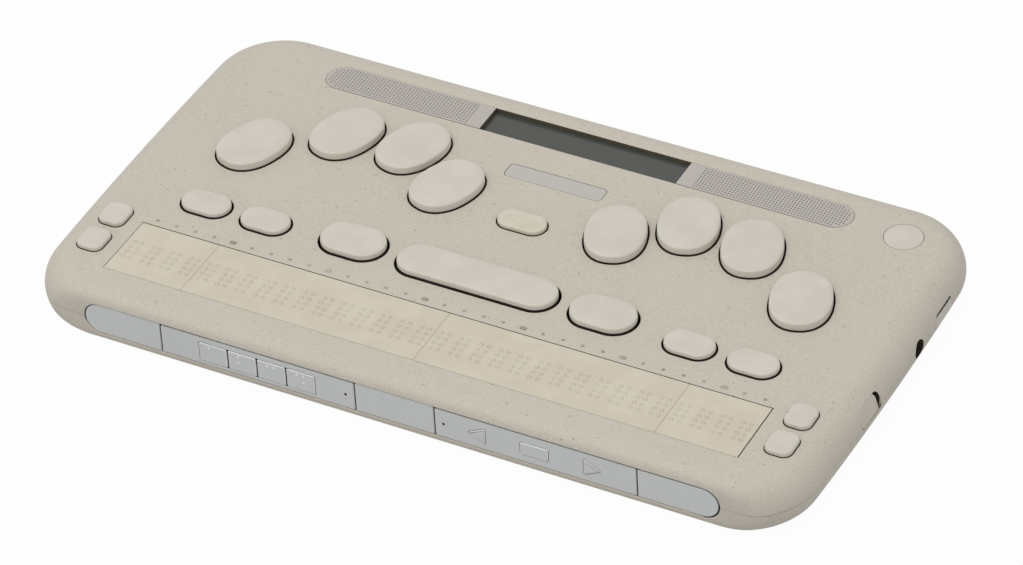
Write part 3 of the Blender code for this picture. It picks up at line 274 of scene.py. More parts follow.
def slab(bottom: float, top: float, bottom_round: float = 0.0, top_round: float = 0.0,
         steps: int = 4) -> np.ndarray:
    """The profile of a slab with quarter-round edges: inset r (1 - cos t), level up by r sin t.

    Args:
        bottom: Lower level.
        top: Upper level; it may lie below the lower one for a side that looks at the front.
        bottom_round: Radius of the edge at the lower level.
        top_round: Radius of the edge at the upper level.
        steps: Chords in each edge.

    Returns:
        Rows of (inset, level) from the lower to the upper level.
    """
    way = math.copysign(1.0, top - bottom)
    angle = np.linspace(0, math.pi / 2, steps + 1)
    lower = np.stack((bottom_round * (1 - np.sin(angle)),
                      bottom + way * bottom_round * (1 - np.cos(angle))), axis=1)
    upper = np.stack((top_round * (1 - np.cos(angle)),
                      top - way * top_round * (1 - np.sin(angle))), axis=1)
    return np.concatenate((lower if bottom_round else lower[-1:],
                           upper if top_round else upper[:1]))


def flared(bottom: float, surface: float, flare: float, steps: int = 4) -> np.ndarray:
    """The profile of a cutter that leaves a rounded rim: it grows by r (1 - cos t) at the surface.

    Args:
        bottom: Level where the cut ends, inside the piece.
        surface: Level of the face that is cut.
        flare: Radius of the rim.
        steps: Chords in the rim.

    Returns:
        Rows of (inset, level) from the bottom to past the surface.
    """
    way = math.copysign(1.0, surface - bottom)
    angle = np.linspace(0, math.pi / 2, steps + 1)
    rim = np.stack((-flare * (1 - np.cos(angle)),
                    surface - way * flare * (1 - np.sin(angle))), axis=1)
    return np.concatenate(([(0, bottom)], rim, [(-flare, surface + way * CUT_OVERRUN)]))


def stud(foot: float, base: float, radius: float, rise: float, steps: int = 4) -> np.ndarray:
    """The profile of a stud with a round head: inset r (1 - cos t), level up by h sin t.

    Args:
        foot: Level where the stud starts, inside the piece that it stands on.
        base: Level where its head starts.
        radius: Radius of the head.
        rise: Height of the head, negative when it rises towards the front.
        steps: Chords from the head's side to its middle; the last one is left to the crown.

    Returns:
        Rows of (inset, level).
    """
    angle = np.linspace(0, math.pi / 2, steps + 1)[:-1]
    head = np.stack((radius * (1 - np.cos(angle)), base + rise * np.sin(angle)), axis=1)
    return np.concatenate(([(0, foot)], head))


def linear(hex_colour: str) -> tuple[float, float, float, float]:
    """An sRGB hex colour in linear light, by the curve of the sRGB standard.

    Args:
        hex_colour: Six hex digits: red, green and blue.

    Returns:
        Linear red, green and blue, and full alpha.
    """
    value = np.array([int(hex_colour[place:place + 2], 16) / 255 for place in (0, 2, 4)])
    channels = np.where(value <= 0.04045, value / 12.92, ((value + 0.055) / 1.055) ** 2.4)
    return (*(float(channel) for channel in channels), 1.0)


class Surface:
    """Points and faces gathered for one mesh; several closed bodies may share it."""

    def __init__(self) -> None:
        """Starts with no points and no faces."""
        self.points: list[np.ndarray] = []
        self.faces: list[list[int]] = []
        self.count = 0

    def add(self, points: np.ndarray, faces: np.ndarray) -> None:
        """Adds points and the faces between them.

        Args:
            points: Rows of three coordinates.
            faces: Rows of point numbers, counted from the first of these points.
        """
        self.points.append(points.reshape(-1, 3))
        self.faces.extend((faces + self.count).tolist())
        self.count += len(self.points[-1])

    def grid(self, points: np.ndarray, around: bool = True) -> None:
        """Adds the quads between neighbouring rows and columns of a grid of points.

        Args:
            points: Array of rows, columns and three coordinates.
            around: Whether the last column joins the first.
        """
        rows, columns = points.shape[:2]
        number = np.arange(rows * columns).reshape(rows, columns)
        following = np.roll(number, -1, axis=1)
        quads = np.stack((number[:-1], following[:-1], following[1:], number[1:]), axis=-1)
        quads = quads if around else quads[:, :-1]
        self.add(points, quads.reshape(-1, 4))

    def face(self, ring: np.ndarray) -> None:
        """Adds one flat face inside a ring of points."""
        self.add(ring, np.arange(len(ring))[None])

    def crown(self, ring: np.ndarray, rise: float, axis: int, steps: int) -> None:
        """Closes a ring with a low dome: the height is rise (1 - s^2) at share s of the ring.

        Args:
            ring: Points of the ring.
            rise: Height of the dome's middle, negative for a dish.
            axis: The axis that the dome rises along.
            steps: Rings in the dome.
        """
        share = np.linspace(1, 0, steps + 1)[:-1, None, None]
        centre = ring.mean(axis=0)
        rings = centre + (ring[None] - centre) * share
        rings[..., axis] += rise * (1 - share[..., 0] ** 2)
        self.grid(rings)
        pole = centre.copy()
        pole[axis] += rise
        number = np.arange(len(ring))
        fan = np.stack((number, np.roll(number, -1), np.full(len(ring), len(ring))), axis=1)
        self.add(np.concatenate((rings[-1], pole[None])), fan)

    def closed(self, rings: np.ndarray) -> "Surface":
        """Adds rings of points and a flat face at both ends.

        Args:
            rings: Array of rings, points and three coordinates.

        Returns:
            This surface, so that calls can be chained.
        """
        self.grid(rings)
        self.face(rings[0][::-1])
        self.face(rings[-1])
        return self

    def mesh(self, name: str) -> bpy.types.Mesh:
        """Makes the mesh: points in one place become one, and the faces look outwards.

        Args:
            name: The mesh's name.

        Returns:
            The new mesh.
        """
        made = bpy.data.meshes.new(name)
        points = np.concatenate(self.points)
        made.from_pydata(points.tolist(), [], self.faces)
        work = bmesh.new()
        work.from_mesh(made)
        bmesh.ops.remove_doubles(work, verts=work.verts, dist=MERGE_DISTANCE)
        bmesh.ops.recalc_face_normals(work, faces=work.faces)
        work.to_mesh(made)
        work.free()
        return made


def solid(outline: np.ndarray, profile: np.ndarray, facing: Facing = Facing.TOP) -> Surface:
    """A closed body: an outline carried along a profile, with flat ends."""
    return Surface().closed(carried(outline, profile, facing))


def domed(outline: np.ndarray, profile: np.ndarray, crown: float,
          facing: Facing = Facing.TOP, steps: int = 1) -> Surface:
    """A closed body like a solid one, with a low dome in place of its last flat end.

    Args:
        outline: Points of a closed outline, anticlockwise.
        profile: Rows of (inset, level).
        crown: Height of the dome.
        facing: The side that the outline looks at.
        steps: Rings in the dome.

    Returns:
        The closed surface.
    """
    rings = carried(outline, profile, facing)
    surface = Surface()
    surface.grid(rings)
    surface.face(rings[0][::-1])
    surface.crown(rings[-1], crown, facing.value[2], steps)
    return surface


def together(surfaces: Iterable[Surface]) -> Surface:
    """Several surfaces gathered as one.

    Args:
        surfaces: The surfaces to gather.

    Returns:
        A new surface with all their points and faces.
    """
    whole = Surface()
    for surface in surfaces:
        whole.faces.extend([[place + whole.count for place in face] for face in surface.faces])
        whole.points.extend(surface.points)
        whole.count += surface.count
    return whole


def new_piece(name: str, surface: Surface) -> bpy.types.Object:
    """Makes an object of a surface and puts it in the scene.

    Args:
        name: The object's name.
        surface: Its points and faces.

    Returns:
        The new object, at the origin.
    """
    made = bpy.data.objects.new(name, surface.mesh(name))
    bpy.context.scene.collection.objects.link(made)
    return made


def kept_result(piece: bpy.types.Object) -> None:
    """Replaces a piece's mesh by what its modifiers make of it, and takes them off.

    Args:
        piece: The piece.
    """
    bpy.context.view_layer.update()
    graph = bpy.context.evaluated_depsgraph_get()
    result = bpy.data.meshes.new_from_object(piece.evaluated_get(graph))
    piece.modifiers.clear()
    piece.data = result


def work_on(piece: bpy.types.Object, tool_surface: Surface, action: Cut) -> None:
    """Cuts or joins a piece with another surface.

    Args:
        piece: The piece to change.
        tool_surface: One or more closed bodies.
        action: Whether they are taken away or joined.
    """
    tool = new_piece(piece.name + "_tool", tool_surface)
    step = piece.modifiers.new("work", "BOOLEAN")
    step.operation = action.value
    step.solver = "EXACT"
    step.object = tool
    kept_result(piece)
    bpy.data.objects.remove(tool, do_unlink=True)


def finish_faces(piece: bpy.types.Object, flat_faces: bool = True) -> None:
    """Shades a piece smooth between its sharp edges.

    Args:
        piece: The piece to shade.
        flat_faces: Whether large flat faces keep their own direction up to their edges.
    """
    piece.data.shade_smooth()
    piece.data.set_sharp_from_angle(angle=SHARP_ANGLE)
    if flat_faces:
        step = piece.modifiers.new("weights", "WEIGHTED_NORMAL")
        step.keep_sharp = True
        step.weight = AREA_WEIGHT
        kept_result(piece)


class NodeWork:
    """A shader tree and the steps that every finish is made of."""

    def __init__(self, tree: bpy.types.NodeTree) -> None:
        """Starts with an empty tree."""
        tree.nodes.clear()
        self.tree = tree

    def add(self, kind: str, inputs: dict[str | int, object] | None = None,
            **settings: object) -> bpy.types.bpy_prop_collection:
        """Adds a node with its links and settings.

        Args:
            kind: The node's Blender type.
            inputs: Values or output sockets for its input sockets.
            settings: Values for its own properties.

        Returns:
            The node's outputs.
        """
        node = self.tree.nodes.new(kind)
        for name, value in settings.items():
            setattr(node, name, value)
        for name, value in (inputs or {}).items():
            if isinstance(value, bpy.types.NodeSocket):
                self.tree.links.new(value, node.inputs[name])
            else:
                node.inputs[name].default_value = value
        return node.outputs

    def noise(self, place: Socket, size: float, detail: float = 2.0,
              roughness: float = 0.5) -> Socket:
        """Adds a noise whose repeats are about the given size.

        Args:
            place: Where it is drawn.
            size: Size of a repeat.
            detail: Octaves of finer noise in it.
            roughness: Share of the finer noise.

        Returns:
            Its value, from 0 to 1.
        """
        return self.add("ShaderNodeTexNoise",
                        {"Vector": place, "Scale": per_metre(size), "Detail": detail,
                         "Roughness": roughness})["Fac"]

    def ramp(self, value: Socket, source: tuple[float, float],
             target: tuple[float, float] = (0.0, 1.0)) -> Socket:
        """Carries a value from one range to another and keeps it inside that.

        Args:
            value: The value.
            source: The range that it is read in.
            target: The range that it is carried to.

        Returns:
            The new value.
        """
        return self.add("ShaderNodeMapRange",
                        {"Value": value, "From Min": source[0], "From Max": source[1],
                         "To Min": target[0], "To Max": target[1]})["Result"]

    def around(self, value: Socket, centre: float, swing: float) -> Socket:
        """A value from 0 to 1 carried to the range that lies around a centre."""
        return self.ramp(value, (0.0, 1.0), (centre - swing, centre + swing))

    def blend(self, amount: Socket, first: Socket | str, second: str) -> Socket:
        """Mixes two colours.

        Args:
            amount: Share of the second one.
            first: A colour or its hex code.
            second: A hex code.

        Returns:
            The mixed colour.
        """
        first = linear(first) if isinstance(first, str) else first
        return self.add("ShaderNodeMix", {"Factor": amount, "A": first, "B": linear(second)},
                        data_type="RGBA")["Result"]

    def calculate(self, operation: str, first: Socket, second: Socket | float) -> Socket:
        """The result of one operation on two values."""
        return self.add("ShaderNodeMath", {0: first, 1: second}, operation=operation)["Value"]

    def bump(self, height: Socket, strength: float, distance: float) -> Socket:
        """Normals of a surface that a height from 0 to 1 roughens by a distance."""
        return self.add("ShaderNodeBump", {"Height": height, "Strength": strength,
                                           "Distance": distance})["Normal"]

    def principled(self, colour: Socket, roughness: Socket | float,
                   **others: Socket | float) -> Socket:
        """The Principled shader, with values or sockets for its inputs."""
        return self.add("ShaderNodeBsdfPrincipled",
                        {"Base Color": colour, "Roughness": roughness} | others)["BSDF"]

    def paler_in_view(self, soft: Socket, white: Socket, ray: str, share: float,
                      output: str) -> None:
        """Ends the tree with a shader that gives way to white where the camera sees it.

        Args:
            soft: The shader that lights the piece.
            white: The shader that the camera sees.
            ray: The other kind of ray that meets the white one.
            share: How much of the white one it meets.
            output: Blender type of the output node.
        """
        path = self.add("ShaderNodeLightPath")
        seen = self.calculate("MAXIMUM", path["Is Camera Ray"], path[ray])
        mix = self.add("ShaderNodeMixShader", {"Fac": self.calculate("MULTIPLY", seen, share),
                                               1: soft, 2: white})
        self.add(output, {"Surface": mix["Shader"]})


def per_metre(size: float) -> float:
    """The texture scale at which one repeat is about the given size."""
    return 1.0 / size


@dataclass(frozen=True)
class Finish(ABC):
    """A finish: what the piece is made of and how its surface was made."""

    name: str

    def material(self) -> bpy.types.Material:
        """Makes the material, or gives the one made before.

        Returns:
            The material that carries this finish.
        """
        made = bpy.data.materials.get(self.name)
        if made is None:
            made = bpy.data.materials.new(self.name)
            made.use_nodes = True
            work = NodeWork(made.node_tree)
            place = work.add("ShaderNodeTexCoord")["Object"]
            work.add("ShaderNodeOutputMaterial", {"Surface": self.shader(work, place)})
        return made

    @abstractmethod
    def shader(self, work: NodeWork, place: Socket) -> Socket:
        """Builds the nodes of the finish.

        Args:
            work: The tree to build in.
            place: Places on the piece, for the textures.

        Returns:
            The shader.
        """

    def dress(self, piece: bpy.types.Object) -> None:
        """Puts the finish on every slot of a piece.

        Args:
            piece: The piece to dress.
        """
        if not piece.material_slots:
            piece.data.materials.append(None)
        for slot in piece.material_slots:
            slot.material = self.material()


@dataclass(frozen=True)
class TexturedAbs(Finish):
    """Moulded ABS from a spark-eroded mould: a pebbled skin, with dark flecks and painted glints
    in it.
    """

    colour: str = "CCC5B8"
    shade: str = "BEB7A9"
    tint: str = "C6C1B3"
    fleck: str = "6E6452"
    glint: str = "DDD7CB"
    mottle: float = 0.8 * MM
    mottle_range: tuple[float, float] = (0.3, 0.7)
    cloud: float = 14.0 * MM
    cloud_range: tuple[float, float] = (0.42, 0.68)
    cloud_share: float = 0.5
    fleck_spacing: float = 2.3 * MM
    fleck_radius: float = 0.25 * MM
    fleck_rim: tuple[float, float] = (1.3, 0.5)
    fleck_stretch: tuple[float, float, float] = (0.6, 1.0, 1.0)
    fleck_threshold: float = 0.6
    glint_threshold: float = 0.8
    fleck_share: float = 0.55
    pebble: float = 0.7 * MM
    pebble_height: float = 0.12 * MM
    pebble_strength: float = 0.35
    coarseness: float = 0.7
    roughness: float = 0.62
    gloss_swing: float = 0.08
    ior: float = 1.53

    def shader(self, work: NodeWork, place: Socket) -> Socket:
        """Clouded colour, flecks and painted glints, over bumps that read as the mould's pebbles.

        Args:
            work: The tree to build in.
            place: Places on the piece, for the textures.

        Returns:
            The shader.
        """
        # Fine mottling of the moulded colour, which keeps the large top from looking painted
        mottle = work.noise(place, self.mottle, roughness=self.coarseness)
        colour = work.blend(work.ramp(mottle, self.mottle_range), self.shade, self.colour)
        # Wide clouds where the pigment turns from warm to slightly green
        cloud = work.noise(place, self.cloud, detail=3.0)
        drift = work.ramp(cloud, self.cloud_range, (0.0, self.cloud_share))
        colour = work.blend(drift, colour, self.tint)
        # Mixed-in dark flecks, drawn out sideways, in two fifths of the cells, so that the top
        # looks like a filled plastic; one fifth of the cells hold a pale spot, a painted highlight
        # for glints on the pebbles
        drawn = work.add("ShaderNodeMapping", {"Vector": place, "Scale": self.fleck_stretch})
        spots = work.add("ShaderNodeTexVoronoi",
                         {"Vector": drawn["Vector"], "Scale": per_metre(self.fleck_spacing)})
        size = self.fleck_radius / self.fleck_spacing
        near = work.ramp(spots["Distance"],
                         (self.fleck_rim[0] * size, self.fleck_rim[1] * size))
        chosen = work.add("ShaderNodeSeparateColor", {"Color": spots["Color"]})
        for channel, threshold, fleck in (("Red", self.fleck_threshold, self.fleck),
                                          ("Green", self.glint_threshold, self.glint)):
            some = work.calculate("GREATER_THAN", chosen[channel], threshold)
            amount = work.calculate("MULTIPLY", near, some)
            faded = work.calculate("MULTIPLY", amount, self.fleck_share)
            colour = work.blend(faded, colour, fleck)
        # Pebbles of the mould's skin, which break up the gloss
        pebbles = work.noise(place, self.pebble, 3.0, self.coarseness)
        return work.principled(
            colour, work.around(pebbles, self.roughness, self.gloss_swing), IOR=self.ior,
            Normal=work.bump(pebbles, self.pebble_strength, self.pebble_height))


@dataclass(frozen=True)
class SatinAbs(Finish):
    """Moulded ABS from a finely blasted mould: an even satin skin that fingers have smoothed."""

    colour: str
    shade: str
    cloud: float = 8.0 * MM
    cloud_range: tuple[float, float] = (0.35, 0.65)
    grit: float = 0.25 * MM
    grit_height: float = 0.03 * MM
    grit_strength: float = 0.12
    roughness: float = 0.48
    gloss_swing: float = 0.05
    ior: float = 1.53

    def shader(self, work: NodeWork, place: Socket) -> Socket:
        """A slightly clouded colour, with a fine grit that varies the gloss and the bump.

        Args:
            work: The tree to build in.
            place: Places on the piece, for the textures.

        Returns:
            The shader.
        """
        # Faint clouds, as thick moulded caps show where they cooled last
        cloud = work.ramp(work.noise(place, self.cloud), self.cloud_range)
        # The blasted mould's grit, which softens the gloss
        grit = work.noise(place, self.grit)
        return work.principled(
            work.blend(cloud, self.shade, self.colour),
            work.around(grit, self.roughness, self.gloss_swing), IOR=self.ior,
            Normal=work.bump(grit, self.grit_strength, self.grit_height))


@dataclass(frozen=True)
class SilverLacquer(Finish):
    """Satin silver lacquer sprayed on ABS: fine metal flakes under a soft clear coat."""

    colour: str
    shade: str
    flake: float = 0.35 * MM
    peel: float = 1.4 * MM
    peel_height: float = 0.05 * MM
    peel_strength: float = 0.1
    metallic: float = 0.35
    roughness: float = 0.42
    gloss_swing: float = 0.06

    def shader(self, work: NodeWork, place: Socket) -> Socket:
        """Flakes that vary colour and gloss, drawn 0.35 mm wide so that they show.

        Args:
            work: The tree to build in.
            place: Places on the piece, for the textures.

        Returns:
            The shader.
        """
        # Metal flakes of the lacquer, each a little paler or glossier than the next
        flakes = work.add("ShaderNodeTexVoronoi",
                          {"Vector": place, "Scale": per_metre(self.flake)})
        tint = work.add("ShaderNodeSeparateColor", {"Color": flakes["Color"]})
        # The spray's faint orange peel
        peel = work.noise(place, self.peel, detail=1.0)
        return work.principled(
            work.blend(tint["Green"], self.shade, self.colour),
            work.around(tint["Blue"], self.roughness, self.gloss_swing), Metallic=self.metallic,
            Normal=work.bump(peel, self.peel_strength, self.peel_height))


@dataclass(frozen=True)
class DisplayGlass(Finish):
    """Clear hard-coated glass over an unlit reflective liquid crystal panel."""

    colour: str = "4B4D49"
    line: str = "454743"
    pixel: float = 0.5 * MM
    line_width: float = 0.12
    smear: float = 20.0 * MM
    roughness_range: tuple[float, float] = (0.12, 0.22)
    ior: float = 1.52

    def shader(self, work: NodeWork, place: Socket) -> Socket:
        """Rows of pixels, drawn 0.5 mm wide so that they just show, under a glossy coat.

        Args:
            work: The tree to build in.
            place: Places on the piece, for the textures.

        Returns:
            The shader.
        """
        # The panel's pixels, seen as a faint regular weave
        pixels = work.add("ShaderNodeTexBrick",
                          {"Vector": place, "Scale": per_metre(self.pixel),
                           "Color1": linear(self.colour), "Color2": linear(self.colour),
                           "Mortar": linear(self.line), "Mortar Size": self.line_width,
                           "Brick Width": 1.0, "Row Height": 1.0}, offset=0.0)
        # Smears of wiping, which dull the gloss in wide patches
        smear = work.ramp(work.noise(place, self.smear), (0.0, 1.0), self.roughness_range)
        return work.principled(pixels["Color"], smear, IOR=self.ior)


@dataclass(frozen=True)
class PlainStock(Finish):
    """A stock part seen only up close, with the fine grain of how it was made, or a painted shade.
    """

    colour: str
    shade: str
    grain: float
    roughness: float
    metallic: float = 0.0
    grain_height: float = 0.02 * MM
    stretch: tuple[float, float, float] = (1.0, 1.0, 1.0)
    grain_strength: float = 0.5
    gloss_swing: float = 0.08

    def shader(self, work: NodeWork, place: Socket) -> Socket:
        """Grain, drawn out along one axis where the stock is brushed or drawn.

        Args:
            work: The tree to build in.
            place: Places on the piece, for the textures.

        Returns:
            The shader.
        """
        # The grain of the stock's surface, seen in its colour, its gloss and its bumps
        drawn = work.add("ShaderNodeMapping", {"Vector": place, "Scale": self.stretch})
        grain = work.noise(drawn["Vector"], self.grain, detail=3.0)
        return work.principled(
            work.blend(grain, self.shade, self.colour),
            work.around(grain, self.roughness, self.gloss_swing), Metallic=self.metallic,
            Normal=work.bump(grain, self.grain_strength, self.grain_height))


@dataclass(frozen=True)
class CircuitLaminate(Finish):
    """Glass-epoxy laminate under green solder resist, with copper tracks below it."""

    colour: str = "2C5E40"
    track: str = "3B7550"
    track_pitch: float = 2.4 * MM
    track_range: tuple[float, float] = (0.38, 0.42)
    track_height: float = 0.04 * MM
    track_strength: float = 0.4
    roughness: float = 0.34
    ior: float = 1.55

    def shader(self, work: NodeWork, place: Socket) -> Socket:
        """Cells whose borders read as tracks, slightly raised under the resist.

        Args:
            work: The tree to build in.
            place: Places on the piece, for the textures.

        Returns:
            The shader.
        """
        # Tracks along the borders of square cells, which shine through as paler green
        cells = work.add("ShaderNodeTexVoronoi",
                         {"Vector": place, "Scale": per_metre(self.track_pitch)},
                         distance="CHEBYCHEV")
        border = work.ramp(cells["Distance"], self.track_range)
        return work.principled(
            work.blend(border, self.colour, self.track), self.roughness, IOR=self.ior,
            Normal=work.bump(border, self.track_strength, self.track_height))


@dataclass(frozen=True)
class Finishes:
    """The finishes of this notetaker, named as its maker would order them, and the painted shade
    and highlights.
    """

    casing: Finish = TexturedAbs("textured_ABS_warm_grey")
    # Painted shade: the touch marks take a darker colour for the shade around their low domes
    mark: Finish = TexturedAbs("painted_shade_touch_mark", "A19989", "958D7E")
    key: Finish = SatinAbs("satin_ABS_key_grey", "D1CCC1", "CCC6BA")
    knob: Finish = SatinAbs("satin_ABS_knob_grey", "C9C2B5", "BDB5A6")
    pill: Finish = SatinAbs("satin_ABS_cream", "D4CDBD", "CCC5B2")
    cap: Finish = SatinAbs("satin_ABS_display_cream", "D1C9B7", "CCC3B0", roughness=0.55)
    pin: Finish = SatinAbs("turned_acetal_pin_cream", "CFC8B8", "C6BEAC", roughness=0.4)
    # Painted shade: near-black put on walls, skirts and slits that lie in the dark of a gap
    gap_shade: Finish = PlainStock("painted_gap_shade_black", "33291C", "281F15",
                                grain=0.5 * MM, roughness=0.8)
    # Painted shade: dark olive for walls of the screen's recess and the plates' inner ends, which
    # lie in shadow
    recess_shade: Finish = PlainStock("painted_recess_shade_olive", "5A5546", "4E493C",
                               grain=0.5 * MM, roughness=0.6)
    strip: Finish = SilverLacquer("satin_silver_lacquer", "C6C8C7", "C0C3C2")
    # Painted highlight: a pale lacquer for key edges and dot tops where light catches them
    bright: Finish = SilverLacquer("painted_highlight_lacquer", "E4E6E4", "DADCDA", metallic=0.2)
    grille: Finish = SilverLacquer("perforated_silver_sheet", "C0BBB3", "BAB5AD", metallic=0.2)
    plate: Finish = SilverLacquer("blank_silver_plate", "C3C0B9", "BEBBB4", metallic=0.2)
    screen: Finish = DisplayGlass("coated_display_glass")
    board: Finish = CircuitLaminate("green_circuit_laminate")
    battery: Finish = PlainStock("battery_shrink_sleeve", "3C4048", "33373E",
                                 grain=2.0 * MM, roughness=0.32)
    speaker: Finish = PlainStock("glass_filled_nylon_speaker", "2A2A2C", "222224",
                                 grain=0.6 * MM, roughness=0.6)
    socket: Finish = PlainStock("nickel_plated_steel", "A8AAAC", "999B9E", grain=0.3 * MM,
                                roughness=0.3, metallic=1.0, grain_height=0.01 * MM,
                                stretch=(1.0, 0.1, 1.0))
    insert: Finish = PlainStock("moulded_warm_grey_nylon", "CDC7BC", "C2BBAE",
                                grain=0.4 * MM, roughness=0.5)
    jack: Finish = PlainStock("black_PBT_jack", "1D1B1A", "161514",
                              grain=0.4 * MM, roughness=0.6)
    foot: Finish = PlainStock("cast_black_rubber", "3A3936", "302F2D",
                              grain=0.4 * MM, roughness=0.85)
    screw: Finish = PlainStock("zinc_plated_screw", "8C9095", "7C8085",
                               grain=0.25 * MM, roughness=0.35, metallic=1.0)


class Assembly(ABC):
    """A sub-assembly: it builds its pieces, dresses them and says what it made."""

    @abstractmethod
    def build(self, finishes: Finishes) -> list[bpy.types.Object]:
        """Builds, dresses and places the pieces.

        Args:
            finishes: The notetaker's finishes.

        Returns:
            The new pieces.
        """


def settle(name: str, surface: Surface, body: str, finish: Finish, slot: str, *nodes: str,
           tools: Iterable[Surface] = (), action: Cut = Cut.REMOVE,
           flat_faces: bool = True) -> bpy.types.Object:
    """Makes a piece, works on it, dresses it and tells the frame where it belongs.

    Args:
        name: The piece's name.
        surface: Its points and faces.
        body: The CAD body that it moves with.
        finish: What it is dressed in.
        slot: Not used.
        nodes: The CAD nodes that it stands for.
        tools: Closed bodies that it is cut with or joined to, one after the other.
        action: Whether they are taken away or joined.
        flat_faces: Whether large flat faces keep their own direction up to their edges.

    Returns:
        The new piece.
    """
    piece = new_piece(name, surface)
    for tool in tools:
        work_on(piece, tool, action)
    finish_faces(piece, flat_faces)
    finish.dress(piece)
    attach(piece, body)
    if nodes:
        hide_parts(*nodes)
    return piece


def dress_part(piece: bpy.types.Object, finish: Finish,
               chosen: Callable[[np.ndarray, np.ndarray], np.ndarray]) -> None:
    """Puts a second finish on some faces of a piece that is already dressed.

    Args:
        piece: The piece.
        finish: The finish of the chosen faces.
        chosen: Tells from the middles and normals of all faces which of them it is for.
    """
    faces = piece.data.polygons
    middles = np.empty(len(faces) * 3)
    normals = np.empty(len(faces) * 3)
    faces.foreach_get("center", middles)
    faces.foreach_get("normal", normals)
    number = np.empty(len(faces), dtype=np.int32)
    faces.foreach_get("material_index", number)
    number[chosen(middles.reshape(-1, 3), normals.reshape(-1, 3))] = len(piece.data.materials)
    piece.data.materials.append(finish.material())
    faces.foreach_set("material_index", number)
    piece.data.update()


@dataclass
class KeyForm:
    """The plan and the section of one kind of key."""

    outline: np.ndarray
    rise: float
    gap: float
    skirt: float
    edge: tuple[float, float] = (1.8 * MM, 0.7 * MM)
    crown: float = 0.05 * MM
    draft: float = 0.05 * MM
    crown_steps: int = 5

    def section(self, bottom: float, steps: int = 9) -> np.ndarray:
        """A side with draft and an elliptical edge: inset a (1 - cos t), level up by b sin t.

        Args:
            bottom: Level of the key's underside.
            steps: Chords in the edge.

        Returns:
            Rows of (inset, level).
        """
        angle = np.linspace(0, math.pi / 2, steps + 1)
        across, down = self.edge
        edge = np.stack((self.draft + across * (1 - np.cos(angle)),
                         TOP + self.rise - self.crown - down * (1 - np.sin(angle))), axis=1)
        return np.concatenate(([(0, bottom)], [(0, TOP + self.skirt)], edge))


